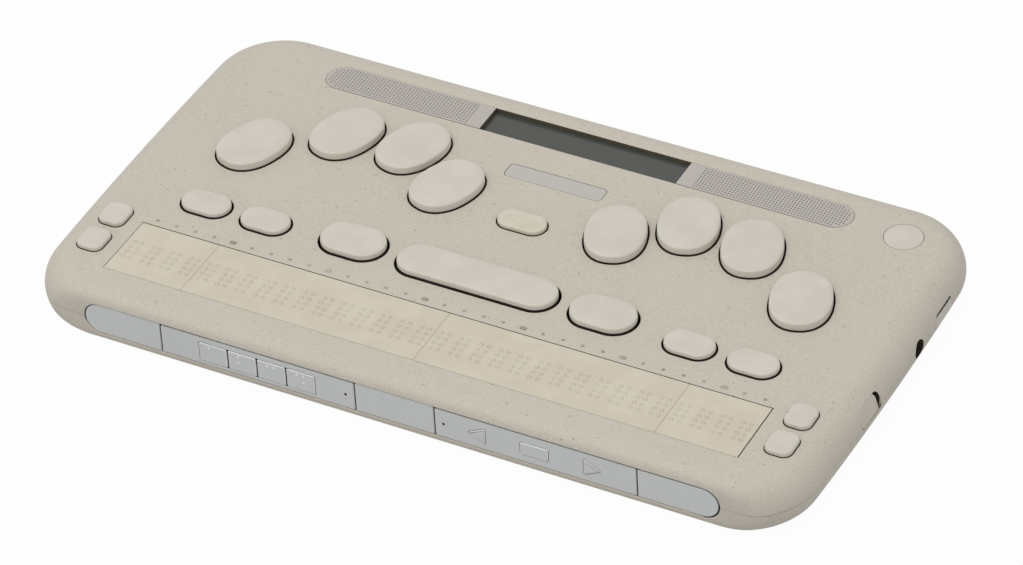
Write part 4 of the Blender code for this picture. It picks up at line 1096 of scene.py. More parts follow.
@dataclass
class Keyboard(Assembly):
    """Every key of the top, each on its own body, its skirt painted black as the shade in its gap.
    """

    underside: float = 3.1 * MM
    well_rim: float = 0.2 * MM
    oval_half_width: float = 9.25 * MM
    oval_half_length: float = 12.4 * MM
    oval_exponent: float = 2.25
    oval_turn: float = math.radians(18.0)
    space_size: tuple[float, float] = (51.7 * MM, 13.2 * MM)
    medium_size: tuple[float, float] = (20.6 * MM, 13.7 * MM)
    function_size: tuple[float, float] = (15.7 * MM, 10.0 * MM)
    power_size: tuple[float, float] = (15.6 * MM, 8.3 * MM)
    power_rise: float = 1.3 * MM
    end_steps: int = 24
    small_end_steps: int = 20
    scroll_size: tuple[float, float] = (8.4 * MM, 9.8 * MM)
    scroll_corner: float = 2.8 * MM
    recess_inset: float = 2.9 * MM
    recess_depth: float = 0.15 * MM

    def forms(self) -> dict[str, KeyForm]:
        """The form of each key, by the name of its node.

        Returns:
            Names and forms.
        """
        space = KeyForm(round_ended(*self.space_size, self.end_steps), rise=2.2 * MM,
                        gap=0.8 * MM, skirt=0.25 * MM)
        medium = KeyForm(round_ended(*self.medium_size, self.end_steps), rise=2.2 * MM,
                         gap=0.75 * MM, skirt=0.25 * MM)
        function = KeyForm(round_ended(*self.function_size, self.small_end_steps),
                           rise=1.8 * MM, gap=0.6 * MM, skirt=0.2 * MM)
        power = KeyForm(round_ended(*self.power_size, self.small_end_steps),
                        rise=self.power_rise, gap=0.4 * MM, skirt=0.02 * MM,
                        edge=(0.8 * MM, 0.4 * MM))
        scroll = KeyForm(rounded_rectangle(*self.scroll_size, self.scroll_corner, steps=10),
                         rise=1.5 * MM, gap=0.25 * MM, skirt=0.1 * MM,
                         edge=(1.0 * MM, 0.6 * MM))
        forms = {f"dot_key_{number}": self.oval(-1 if number <= 4 else 1)
                 for number in range(1, 9)}
        forms |= {"space_bar": space, "control_key": medium, "alt_key": medium,
                  "power_key": power}
        forms |= {f"function_key_{number}": function for number in range(1, 5)}
        forms |= {f"scroll_key_{side}_{way}": scroll
                  for side in ("left", "right") for way in ("up", "down")}
        return forms

    def oval(self, side: int) -> KeyForm:
        """A dot key, turned towards the hand that uses it.

        Args:
            side: -1 for the left hand, 1 for the right hand.

        Returns:
            The form.
        """
        return KeyForm(fat_oval(self.oval_half_width, self.oval_half_length,
                                self.oval_exponent, side * self.oval_turn),
                       rise=2.8 * MM, gap=0.5 * MM, skirt=0.25 * MM)

    def wells(self) -> Surface:
        """Cutters for the wells in the casing, one around each key.

        Returns:
            The cutters as one surface.
        """
        cutters = []
        for name, form in self.forms().items():
            grown = form.outline + form.gap * outward(form.outline) + place_of(name)
            cutters.append(solid(grown, flared(TOP - self.underside, TOP, self.well_rim)))
        return together(cutters)

    def power_recess(self) -> Surface:
        """The shallow hollow that a finger finds on the power key.

        Returns:
            Its cutter.
        """
        length, depth = self.power_size
        outline = round_ended(length - 2 * self.recess_inset, depth - 2 * self.recess_inset,
                              steps=16)
        surface = TOP + self.power_rise
        return solid(outline + place_of("power_key"),
                     flared(surface - self.recess_depth, surface, self.recess_depth, steps=3))

    def build(self, finishes: Finishes) -> list[bpy.types.Object]:
        """Builds every key cap and paints its skirt black, as the shade in the gap around it.

        Args:
            finishes: The notetaker's finishes.

        Returns:
            The new pieces.
        """
        pieces = []
        for name, form in self.forms().items():
            surface = domed(form.outline + place_of(name), form.section(TOP - self.underside),
                            form.crown, steps=form.crown_steps)
            if name == "power_key":
                piece = settle(name + "_cap", surface, name, finishes.pill, "pill", name,
                               tools=[self.power_recess()], flat_faces=False)
            else:
                piece = settle(name + "_cap", surface, name, finishes.key, "key", name,
                               flat_faces=False)
            # Painted shade: the skirt, up to just above the casing's top, is black for the dark
            # gap
            dress_part(piece, finishes.gap_shade,
                       lambda middles, normals: middles[:, 2] < TOP + form.skirt)
            pieces.append(piece)
        return pieces


@dataclass
class Casing(Assembly):
    """Both halves of the casing: a round edge all the way round, flattened at the front."""

    corner_radius: float = 22.4 * MM
    side_bow: float = 1.6 * MM
    nose_reach: float = 3.2 * MM
    nose_blend: float = 2.3 * MM
    inner_blend: float = 0.05 * MM
    wall: float = 1.8 * MM
    front_wall: float = 2.2 * MM
    seam_gap: float = 0.12 * MM
    seam_edge: float = 0.1 * MM
    corner_steps: int = 30
    side_steps: int = 24
    edge_steps: int = 30
    inner_steps: int = 8
    screw_sides: int = 32
    rim: float = 0.2 * MM
    slot_rim: float = 0.35 * MM
    window_rim: float = 0.1 * MM
    window_depth: float = 23.4 * MM
    bar_depth: float = 11.3 * MM
    trim_gap: float = 0.15 * MM
    plate_corner: float = 1.55 * MM
    recess_depth: float = 3.0 * MM
    mark_size: tuple[float, float] = (1.1 * MM, 1.0 * MM)
    wide_mark_size: tuple[float, float] = (2.4 * MM, 1.5 * MM)
    mark_rise: float = 0.3 * MM
    mark_crown: float = 0.03 * MM
    mark_setback: float = 2.3 * MM
    marks_between: int = 5
    shade_drop: float = 0.12 * MM
    steep: float = 0.3

    def plan(self, inset: np.ndarray, front: float, blend: float) -> np.ndarray:
        """Round-cornered plans with bowed sides, drawn in by an inset and flattened in front.

        A point is its corner's centre plus (R - inset)(cos t, sin t), and along a side the centre
        moves instead. Then x becomes x (1 - b / s (y / d)^2) with the bow b, half width s and
        half depth d, and y becomes front + h(y - front), where h(e) is 0 before the plane, e
        behind it and (e + w)^2 / 4w within w of it.

        Args:
            inset: How far each ring is drawn in.
            front: Place of the flat front.
            blend: The w of the formula.

        Returns:
            Array of rings, points and two coordinates.
        """
        quarter = np.linspace(0, math.pi / 2, self.corner_steps + 1)
        along = np.linspace(0, 1, self.side_steps + 1)[1:-1]
        corner = np.ones_like(quarter)
        side = np.ones_like(along)
        half_width = SIDE - self.corner_radius
        rear = BACK - self.corner_radius
        fore = FRONT - self.nose_reach + self.corner_radius
        x = half_width * np.concatenate((corner, -corner, -side, -corner, corner, side))
        y = np.concatenate((rear * corner, rear * corner, rear + (fore - rear) * along,
                            fore * corner, fore * corner, fore + (rear - fore) * along))
        turn = np.concatenate((quarter, quarter + math.pi / 2, math.pi * side,
                               quarter + math.pi, quarter + 1.5 * math.pi, 2 * math.pi * side))
        radius = (self.corner_radius - inset)[:, None]
        x = x + radius * np.cos(turn)
        y = y + radius * np.sin(turn)
        x = self.bowed(x, y)
        behind = y - front
        eased = (behind + blend) ** 2 / (4 * blend)
        y = front + np.where(behind > blend, behind, np.where(behind < -blend, 0, eased))
        return np.stack((x, y), axis=-1)

    def bowed(self, x: np.ndarray, y: np.ndarray) -> np.ndarray:
        """Places along X moved in by the bow's parabola along the depth."""
        return x * (1 - self.side_bow / SIDE * (y / BACK) ** 2)

    def wall_place(self, y: np.ndarray, z: np.ndarray) -> np.ndarray:
        """Where the right wall's surface is along X: s - r + (r^2 - (z - c)^2)^(1/2), bowed."""
        across = EDGE_RADIUS ** 2 - (z - MID_HEIGHT) ** 2
        return self.bowed(SIDE - EDGE_RADIUS + np.sqrt(across), y)

    def edge(self, radius: float, wall: float, front: float, blend: float, way: int,
             steps: int) -> np.ndarray:
        """Rings of a round edge from the seam to the flat top or bottom.

        The inset is wall + r (1 - cos t) and the height is the middle + r sin t.

        Args:
            radius: Radius of the edge.
            wall: Inset of its widest ring.
            front: Place of the flat front.
            blend: How softly the front is flattened.
            way: 1 for the upper half, -1 for the lower half.
            steps: Rings in the edge.

        Returns:
            Array of rings, points and three coordinates.
        """
        rim = SEAM + way * self.seam_gap / 2
        start = math.asin((rim - MID_HEIGHT) / radius * way)
        angle = np.linspace(start + self.seam_edge / radius, math.pi / 2, steps)
        inset = wall + radius * (1 - np.cos(angle))
        height = MID_HEIGHT + way * radius * np.sin(angle)
        inset = np.concatenate(([inset[0] + self.seam_edge], inset))
        height = np.concatenate(([rim], height))
        return lay(self.plan(inset, front, blend), height[:, None], Facing.TOP)

    def half(self, way: int) -> Surface:
        """A casing half: in along the inner wall, over the rim and out along the outer wall.

        Args:
            way: 1 for the upper half, -1 for the lower half.

        Returns:
            The closed surface.
        """
        outer = self.edge(EDGE_RADIUS, 0, FRONT, self.nose_blend, way, self.edge_steps)
        inner = self.edge(EDGE_RADIUS - self.wall, self.wall, FRONT + self.front_wall,
                          self.inner_blend, way, self.inner_steps)
        return Surface().closed(np.concatenate((inner[::-1], outer)))

    def cell_marks(self) -> Surface:
        """Touch marks behind the cells: a low dome for each, and a wider one for each fifth.

        Returns:
            The marks as one surface.
        """
        display = BrailleDisplay()
        cells = sum(display.block_cells)
        y = self.window()[3] + self.mark_setback
        marks = []
        for cell in range(cells):
            wide = (cell + 1) % self.marks_between == 0
            length, depth = self.wide_mark_size if wide else self.mark_size
            x = (cell - (cells - 1) / 2) * display.cell_pitch
            marks.append(domed(round_ended(length, depth, steps=5) + np.array((x, y)),
                               stud(TOP - self.mark_rise, TOP, depth / 2, self.mark_rise),
                               self.mark_crown))
        return together(marks)

    def window(self) -> tuple[float, float, float, float]:
        """The edges of the display's window.

        Returns:
            Its left, front, right and back edge.
        """
        first = low("braille_module_1")
        last = high("braille_module_4")
        return (first.x - SEAT_GAP, first.y - SEAT_GAP, last.x + SEAT_GAP,
                first.y - SEAT_GAP + self.window_depth)

    def top_cuts(self) -> Surface:
        """Cutters for the key wells, the display window, the bar, the plate and the disc.

        Returns:
            The cutters as one surface.
        """
        left, front, right, back = self.window()
        window = rectangle(right - left, back - front) + np.array((0, (front + back) / 2))
        length = high("grille_right").x - low("grille_left").x + 2 * SEAT_GAP
        bar = round_ended(length, self.bar_depth, steps=20)
        bar = bar + np.array((0, middle("grille_left").y))
        size = high("name_plate") - low("name_plate")
        plate = rounded_rectangle(size.x + 2 * self.trim_gap, size.y + 2 * self.trim_gap,
                                  self.plate_corner)
        disc = circle(radius_of("corner_disc") + self.trim_gap, steps=64)
        deep = TOP - self.recess_depth
        shallow = low("name_plate").z - SEAT_GAP
        cuts = ((window, deep), (bar, deep), (plate + place_of("name_plate"), shallow),
                (disc + place_of("corner_disc"), shallow))
        return together([Keyboard().wells()]
                        + [solid(outline, flared(level, TOP, self.window_rim, steps=2))
                           for outline, level in cuts])

    def underside_cuts(self) -> Surface:
        """Cutters for the seats of the feet and the wells of the screws.

        Returns:
            The cutters as one surface.
        """
        seats = [(node, Underside().foot_sides, high(node).z + SEAT_GAP) for node in FEET]
        seats += [(node, self.screw_sides, UNDERSIDE + self.wall + CUT_OVERRUN)
                  for node in SCREWS]
        return together(solid(circle(radius_of(node) + SEAT_GAP, sides) + place_of(node),
                              flared(level, UNDERSIDE, self.rim, steps=3))
                        for node, sides, level in seats)

    def wall_cuts(self) -> Surface:
        """Cutters for the slot of the front strip and the three openings of the right wall.

        Returns:
            The cutters as one surface.
        """
        slot = round_ended(*FrontStrip().slot_size(), steps=24) + np.array((0, SEAM))
        deep = FRONT + self.front_wall + CUT_OVERRUN
        cutters = [solid(slot, flared(deep, FRONT, self.slot_rim), Facing.FRONT)]
        inside = SIDE - self.wall - 2 * CUT_OVERRUN
        for outline, place in self.side_openings():
            surface = float(self.wall_place(*place))
            cutters.append(solid(outline + place, flared(inside, surface, self.rim, steps=3),
                                 Facing.RIGHT))
        return together(cutters)

    def side_openings(self) -> list[tuple[np.ndarray, np.ndarray]]:
        """The openings in the right wall.

        Returns:
            Their outlines, each with its middle as (y, z).
        """
        ports = Ports()
        lock = LockSwitch()
        return [(rounded_rectangle(*ports.usb_opening, ports.usb_corner), ports.usb_place()),
                (circle(ports.jack_radius, steps=48), ports.jack_place()),
                (rounded_rectangle(*lock.slot, lock.corner), lock.slot_place())]

    def shaded_walls(self, middles: np.ndarray, normals: np.ndarray) -> np.ndarray:
        """Tells which faces are inner walls of an opening, which are painted black as shade.

        Such a wall stands across the surface that was cut, so its normal has almost no share
        along that surface's own direction.

        Args:
            middles: Middles of the faces.
            normals: Normals of the faces.

        Returns:
            True for each face of such a wall.
        """
        x, y, z = middles.T
        steep = np.abs(normals) < self.steep
        bar = ((np.abs(y - middle("lcd_module").y) < self.bar_depth / 2 + self.rim)
               & (np.abs(x) > SpeakerBar().inner_end()))
        wells = steep[:, 2] & (z < TOP - self.shade_drop) & (z > TOP - self.wall) & ~bar
        # The slot's lower wall, where the strip rests, gets the painted shade only around its
        # right end
        length, height = FrontStrip().slot_size()
        upper = (normals[:, 2] < self.steep) | (x > (length - height) / 2)
        slot = (steep[:, 1] & (y > FRONT + self.shade_drop) & (y < FRONT + self.front_wall)
                & (np.abs(x) < length / 2 + self.rim) & (np.abs(z - SEAM) < height / 2 + self.rim)
                & upper)
        ports = np.zeros(len(middles), dtype=bool)
        for outline, place in self.side_openings():
            reach = outline.max(axis=0) + self.shade_drop / 2
            near = (np.abs(y - place[0]) < reach[0]) & (np.abs(z - place[1]) < reach[1])
            ports |= near & steep[:, 0] & (x > SIDE - 2 * self.wall)
        return wells | slot | ports

    def beside_screen(self, middles: np.ndarray, normals: np.ndarray) -> np.ndarray:
        """Tells which faces are the long walls of the bar's opening, seen above the screen, which
        get painted shade.

        Args:
            middles: Middles of the faces.
            normals: Normals of the faces.

        Returns:
            True for each face of such a wall.
        """
        along = np.abs(middles[:, 1] - middle("lcd_module").y)
        return (self.shaded_walls(middles, normals) & (middles[:, 2] > TOP - self.wall)
                & (np.abs(along - self.bar_depth / 2) < self.rim))

    def build(self, finishes: Finishes) -> list[bpy.types.Object]:
        """Builds both halves, cuts every opening, paints shade on its walls and adds the touch
        marks.

        Args:
            finishes: The notetaker's finishes.

        Returns:
            The new pieces.
        """
        pieces = []
        for name, node, way, cuts in (("upper_casing", "top_shell", 1, self.top_cuts()),
                                      ("lower_casing", "bottom_shell", -1,
                                       self.underside_cuts())):
            half = settle(name, self.half(way), "casing", finishes.casing, "casing", node,
                          tools=[cuts, self.wall_cuts()])
            # Painted shade: inner walls of the wells, the slot and the side openings are black
            dress_part(half, finishes.gap_shade, self.shaded_walls)
            # Painted shade: the long walls of the bar above the screen are olive-dark
            dress_part(half, finishes.recess_shade, self.beside_screen)
            pieces.append(half)
        # The marks carry the darker colour of painted shade
        return pieces + [settle("cell_touch_marks", self.cell_marks(), "casing", finishes.mark,
                                "casing", flat_faces=False)]


@dataclass
class BrailleDisplay(Assembly):
    """Four display blocks with eight pins in each cell."""

    cell_pitch: float = 6.42 * MM
    column_spacing: float = 2.4 * MM
    row_spacing: float = 2.4 * MM
    rows_back: float = 10.4 * MM
    block_cells: tuple[int, ...] = (4, 12, 12, 4)
    seam_gap: float = 0.07 * MM
    front_gap: float = 0.1 * MM
    left_gap: float = 0.15 * MM
    right_gap: float = 0.35 * MM
    back_gap: float = 0.3 * MM
    hole_radius: float = 0.67 * MM
    hole_depth: float = 0.1 * MM
    hole_rim: float = 0.08 * MM
    hole_sides: int = 16
    pin_radius: float = 0.61 * MM
    pin_sides: int = 12
    pin_sink: float = 0.12 * MM
    pin_rise: float = 0.3 * MM
    pin_crown: float = 0.015 * MM
    edge: float = 0.1 * MM

    def pin_places(self, block: int) -> np.ndarray:
        """Middles of the pins of one block: every cell has two columns of four.

        Args:
            block: Number of the block, from 1.

        Returns:
            Rows of (x, y).
        """
        before = sum(self.block_cells[:block - 1])
        cells = np.arange(before, before + self.block_cells[block - 1])
        x = (cells + 0.5 - sum(self.block_cells) / 2) * self.cell_pitch
        x = (x[:, None] + np.array((-0.5, 0.5)) * self.column_spacing).ravel()
        front = low("braille_module_1").y
        y = front + self.rows_back + (np.arange(4) - 1.5) * self.row_spacing
        across, along = np.meshgrid(x, y)
        return np.stack((across.ravel(), along.ravel()), axis=1)

    def block_outline(self, block: int) -> np.ndarray:
        """The plan of one block: the blocks almost touch and fill the window.

        Args:
            block: Number of the block, from 1.

        Returns:
            The outline's points.
        """
        left, front, right, back = Casing().window()
        before = sum(self.block_cells[:block - 1])
        first = (before - sum(self.block_cells) / 2) * self.cell_pitch + self.seam_gap / 2
        last = first + self.block_cells[block - 1] * self.cell_pitch - self.seam_gap
        first = left + self.left_gap if block == 1 else first
        last = right - self.right_gap if block == len(self.block_cells) else last
        front = front + self.front_gap
        back = back - self.back_gap
        middle_place = np.array(((first + last) / 2, (front + back) / 2))
        return rectangle(last - first, back - front) + middle_place

    def build(self, finishes: Finishes) -> list[bpy.types.Object]:
        """Builds the blocks, drills the pin holes and sets the pins in them.

        Args:
            finishes: The notetaker's finishes.

        Returns:
            The new pieces.
        """
        pieces = []
        for block in range(1, len(self.block_cells) + 1):
            node = f"braille_module_{block}"
            places = self.pin_places(block)
            drill = circle(self.hole_radius, self.hole_sides)
            profile = flared(TOP - self.hole_depth, TOP, self.hole_rim, steps=2)
            pieces.append(settle(
                node + "_block",
                solid(self.block_outline(block),
                      slab(low(node).z, TOP, top_round=self.edge, steps=2)),
                "casing", finishes.cap, "cap", node,
                tools=[together(solid(drill + place, profile) for place in places)]))
            pieces.append(settle(f"braille_pins_{block}", self.pins(places), "casing",
                                 finishes.pin, "cap", flat_faces=False))
        return pieces

    def pins(self, places: np.ndarray) -> Surface:
        """Round-headed pins that stand in the holes.

        Args:
            places: Middles of the pins.

        Returns:
            All pins as one surface.
        """
        profile = stud(TOP - self.hole_depth - self.hole_rim, TOP - self.pin_sink,
                       self.pin_radius, self.pin_rise)
        pin = circle(self.pin_radius, self.pin_sides)
        return together(domed(pin + place, profile, self.pin_crown) for place in places)


@dataclass
class SpeakerBar(Assembly):
    """The bar at the back: a perforated plate at each end and the screen between them."""

    hole_pitch: float = 1.0 * MM
    hole_radius: float = 0.28 * MM
    hole_depth: float = 0.25 * MM
    hole_sides: int = 8
    bare_end: float = 5.2 * MM
    margin: float = 0.75 * MM
    edge: float = 0.06 * MM
    gap: float = 0.12 * MM
    rise: float = 0.15 * MM
    cover_drop: float = 1.45 * MM
    upright: float = 0.5

    def inner_end(self) -> float:
        """Distance of both plates' inner ends from the casing's middle line."""
        return min(abs(low("grille_right").x), abs(high("grille_left").x)) - SEAT_GAP / 2

    def cover(self) -> Surface:
        """The glass that covers the screen between the two plates.

        Returns:
            The closed surface.
        """
        outline = rectangle(2 * (self.inner_end() - self.gap), 2 * self.half_depth())
        return solid(outline + np.array((0, middle("lcd_module").y)),
                     slab(high("lcd_module").z, TOP - self.cover_drop, top_round=self.edge,
                          steps=3))

    def half_depth(self) -> float:
        """Half of the visible depth of the bar."""
        return Casing().bar_depth / 2 - self.gap

    def holes(self, node: str, side: int) -> Surface:
        """Punched dimples on a square grid, left out near the outline and the bare inner end.

        Args:
            node: The grille's CAD node.
            side: -1 for the left plate, 1 for the right one.

        Returns:
            The dimples' cutters as one surface.
        """
        near = min(abs(low(node).x), abs(high(node).x)) + self.bare_end
        far = max(abs(low(node).x), abs(high(node).x))
        half = self.half_depth()
        x = np.arange(near, far, self.hole_pitch)
        y = np.arange(-half, half, self.hole_pitch)
        y = y - y.mean()
        across, along = (part.ravel() for part in np.meshgrid(x, y))
        beyond = np.hypot(np.maximum(across - (far - half), 0), along)
        kept = beyond < half - self.margin
        places = np.stack((side * across[kept], middle(node).y + along[kept]), axis=1)
        drill = circle(self.hole_radius, self.hole_sides)
        profile = slab(high(node).z - self.hole_depth, TOP + CUT_OVERRUN)
        return together(solid(drill + place, profile) for place in places)

    def build(self, finishes: Finishes) -> list[bpy.types.Object]:
        """Builds and punches both plates and dresses the screen.

        Args:
            finishes: The notetaker's finishes.

        Returns:
            The new pieces.
        """
        pieces = []
        half = self.half_depth()
        near = self.inner_end()
        for side, word in ((-1, "left"), (1, "right")):
            node = f"grille_{word}"
            far = max(abs(low(node).x), abs(high(node).x)) + SEAT_GAP - self.gap
            outline = one_round_end(near, far, half, side) + np.array((0, middle(node).y))
            surface = solid(outline, slab(low(node).z, high(node).z + self.rise,
                                          top_round=self.edge, steps=3))
            piece = settle(node + "_plate", surface, "casing", finishes.grille, "strip", node,
                           tools=[self.holes(node, side)])
            reach = half - self.margin / 2
            # Painted shade: the plates' long sides are black, for the dark gap beside them
            dress_part(piece, finishes.gap_shade,
                       lambda middles, normals: (np.abs(normals[:, 2]) < self.upright)
                       & (np.abs(middles[:, 1] - middle(node).y) > reach))
            # Painted shade: the plates' inner ends are olive-dark, as the shaded recess beside the
            # screen
            dress_part(piece, finishes.recess_shade,
                       lambda middles, normals: (np.abs(normals[:, 2]) < self.upright)
                       & (np.abs(middles[:, 0]) < near + self.edge))
            pieces.append(piece)
        finishes.screen.dress(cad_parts["lcd_module"])
        return pieces + [settle("screen_cover_glass", self.cover(), "casing", finishes.screen,
                                "screen")]


@dataclass
class TopTrim(Assembly):
    """The blank name plate and the disc in the corner."""

    edge: float = 0.15 * MM
    plate_corner: float = 1.4 * MM

    def build(self, finishes: Finishes) -> list[bpy.types.Object]:
        """Builds both flush pieces with fine rounded edges.

        Args:
            finishes: The notetaker's finishes.

        Returns:
            The new pieces.
        """
        size = high("name_plate") - low("name_plate")
        plate = rounded_rectangle(size.x, size.y, self.plate_corner)
        disc = circle(radius_of("corner_disc"), steps=64)
        pieces = []
        for name, node, outline, finish, slot in (
                ("blank_name_plate", "name_plate", plate, finishes.plate, "strip"),
                ("flush_corner_disc", "corner_disc", disc, finishes.key, "key")):
            profile = slab(low(node).z, high(node).z, top_round=self.edge)
            pieces.append(settle(name, solid(outline + place_of(node), profile), "casing",
                                 finish, slot, node))
        return pieces


@dataclass
class FrontStrip(Assembly):
    """The silver strip of the front: five lengths, four application and three media keys."""

    flange: float = 0.6 * MM
    edge: float = 0.45 * MM
    corner: float = 0.6 * MM
    key_edge: float = 0.4 * MM
    window_gap: float = 0.15 * MM
    window_rim: float = 0.05 * MM
    application_size: tuple[float, float] = (9.3 * MM, 6.7 * MM)
    application_corner: float = 0.5 * MM
    play_size: tuple[float, float] = (9.0 * MM, 4.4 * MM)
    arrow_size: tuple[float, float] = (5.6 * MM, 5.7 * MM)
    media_corner: float = 0.8 * MM
    dot_radius: float = 0.48 * MM
    dot_rise: float = 0.25 * MM
    dot_sides: int = 12
    dot_spacing: float = 2.2 * MM
    lamp_radius: float = 0.45 * MM
    lamp_margin: float = 2.85 * MM
    bottom_gap: float = 0.06 * MM
    narrow_gap: float = 0.16 * MM
    wide_gap: float = 0.5 * MM
    frontal: float = 0.9
    highlight_start: float = 0.05

    def slot_size(self) -> tuple[float, float]:
        """The casing's slot, which the flanges of the lengths reach behind.

        Returns:
            Its length and height.
        """
        length = 2 * (high("right_trim").x - self.flange + SEAT_GAP)
        height = high("right_trim").z - low("right_trim").z - 2 * (self.flange - SEAT_GAP)
        return length, height

    def length_outline(self, node: str) -> np.ndarray:
        """The front view of one length of the strip; an outer end is a half circle.

        The lengths rest on the slot's lower edge, so the dark gap shows above them.

        Args:
            node: The CAD node of the length.

        Returns:
            The outline's points, anticlockwise as seen in (X, Z).
        """
        slot_length, slot_height = self.slot_size()
        above = self.narrow_gap if node in ("left_trim", "centre_trim") else self.wide_gap
        half = (slot_height - self.bottom_gap - above) / 2
        rise = (self.bottom_gap - above) / 2
        if node in ("left_trim", "right_trim"):
            near = min(abs(low(node).x), abs(high(node).x))
            outline = one_round_end(near, slot_length / 2 - above, half,
                                    1 if node == "right_trim" else -1)
        else:
            outline = rounded_rectangle(high(node).x - low(node).x, 2 * half, self.corner,
                                        steps=5)
            outline = outline + np.array(((low(node).x + high(node).x) / 2, 0))
        return outline + np.array((0, SEAM + rise))

    def key_outlines(self) -> dict[str, np.ndarray]:
        """The front view of each key, around its own middle.

        Returns:
            Outlines by the name of the key's node.
        """
        width, height = self.arrow_size
        right = np.array([(-width / 2, -height / 2), (width / 2, 0), (-width / 2, height / 2)])
        left = np.array([(width / 2, -height / 2), (width / 2, height / 2), (-width / 2, 0)])
        outlines = {"previous_key": rounded_corners(left, self.media_corner),
                    "play_key": rounded_rectangle(*self.play_size, self.media_corner,
                                                  steps=6),
                    "next_key": rounded_corners(right, self.media_corner)}
        outlines |= {f"application_key_{number}":
                     rounded_rectangle(*self.application_size, self.application_corner,
                                       steps=4)
                     for number in range(1, 5)}
        return outlines

    def windows(self) -> dict[str, Surface]:
        """Cutters for the key openings and lamp holes of the two panels.

        Returns:
            Cutters by the name of the panel's node.
        """
        face = low("application_panel").y
        far = high("application_panel").y + CUT_OVERRUN
        level = flared(far, face, self.window_rim, steps=2)
        lamp = circle(self.lamp_radius, steps=16)
        first = low("application_key_1").x
        last = high("application_key_4").x
        height = middle("application_key_1").z
        opening = rounded_rectangle(last - first + 2 * self.window_gap,
                                    self.application_size[1] + 2 * self.window_gap,
                                    self.application_corner + self.window_gap, steps=4)
        opening = opening + np.array(((first + last) / 2, height))
        lamp_x = high("application_panel").x - self.lamp_margin
        lamp_height = middle("play_key").z
        left = [solid(opening, level, Facing.FRONT),
                solid(lamp + np.array((lamp_x, lamp_height)), level, Facing.FRONT)]
        right = [solid(lamp + np.array((-lamp_x, lamp_height)), level, Facing.FRONT)]
        for name, outline in self.key_outlines().items():
            if not name.startswith("application"):
                grown = outline + self.window_gap * outward(outline)
                right.append(solid(grown + place_of(name, Facing.FRONT), level, Facing.FRONT))
        return {"application_panel": together(left), "media_panel": together(right)}

    def dots(self, number: int) -> np.ndarray:
        """Places of the dots of a braille digit, around a cell's middle.

        Args:
            number: The digit, from 1 to 4.

        Returns:
            Rows of (x, z).
        """
        cell = np.array([(x, z) for x in (-0.5, 0.5) for z in (1, 0, -1)])
        chosen = {1: (0,), 2: (0, 1), 3: (0, 3), 4: (0, 3, 4)}[number]
        return cell[list(chosen)] * self.dot_spacing

    def raised_dots(self, places: np.ndarray, face: float) -> Surface:
        """Low round dots on a face that looks at the front.

        Args:
            places: Rows of (x, z).
            face: Place of the face along Y.

        Returns:
            The dots as one surface.
        """
        profile = stud(face + self.dot_rise, face, self.dot_radius, -self.dot_rise)
        dot = circle(self.dot_radius, self.dot_sides)
        return together(domed(dot + place, profile, 0.0, Facing.FRONT) for place in places)

    def dress_edges(self, piece: bpy.types.Object, finishes: Finishes, face: float,
                    edge: float, highlighted: bool) -> None:
        """Paints shade black on the sides behind the round edges, and a highlight on a key's
        edges.

        Args:
            piece: A length of the strip or one of its keys.
            finishes: The notetaker's finishes.
            face: Place of its face along Y.
            edge: Radius of its round edges.
            highlighted: True for a key, whose edges get the painted highlight.
        """
        if highlighted:
            dress_part(piece, finishes.bright,
                       lambda middles, normals: (np.abs(normals[:, 1]) < self.frontal)
                       & (middles[:, 1] > face + self.highlight_start * edge))
        dress_part(piece, finishes.gap_shade,
                   lambda middles, normals: (np.abs(normals[:, 1]) < self.frontal)
                   & (middles[:, 1] > face + edge))

    def build(self, finishes: Finishes) -> list[bpy.types.Object]:
        """Builds the five lengths and seven keys, and the dots on the application keys.

        Args:
            finishes: The notetaker's finishes.

        Returns:
            The new pieces.
        """
        pieces = []
        windows = self.windows()
        back = high("left_trim").y
        face = low("left_trim").y
        key_face = low("play_key").y
        for node in ("left_trim", "application_panel", "centre_trim", "media_panel",
                     "right_trim"):
            surface = solid(self.length_outline(node),
                            slab(back, face, top_round=self.edge, steps=5), Facing.FRONT)
            piece = settle(node + "_face", surface, "casing", finishes.strip, "strip", node,
                           tools=[windows[node]] if node in windows else [])
            self.dress_edges(piece, finishes, face, self.edge, False)
            pieces.append(piece)
        for node, outline in self.key_outlines().items():
            place = place_of(node, Facing.FRONT)
            profile = slab(back + SEAT_GAP, key_face, top_round=self.key_edge)
            piece = settle(node + "_cap", solid(outline + place, profile, Facing.FRONT), node,
                           finishes.strip, "strip", node)
            self.dress_edges(piece, finishes, key_face, self.key_edge, True)
            pieces.append(piece)
            if node.startswith("application"):
                # The dots take the painted highlight colour, for their bright tops
                dots = self.raised_dots(self.dots(int(node[-1])) + place, key_face)
                pieces.append(settle(node + "_dots", dots, node, finishes.bright, "strip",
                                     flat_faces=False))
        return pieces


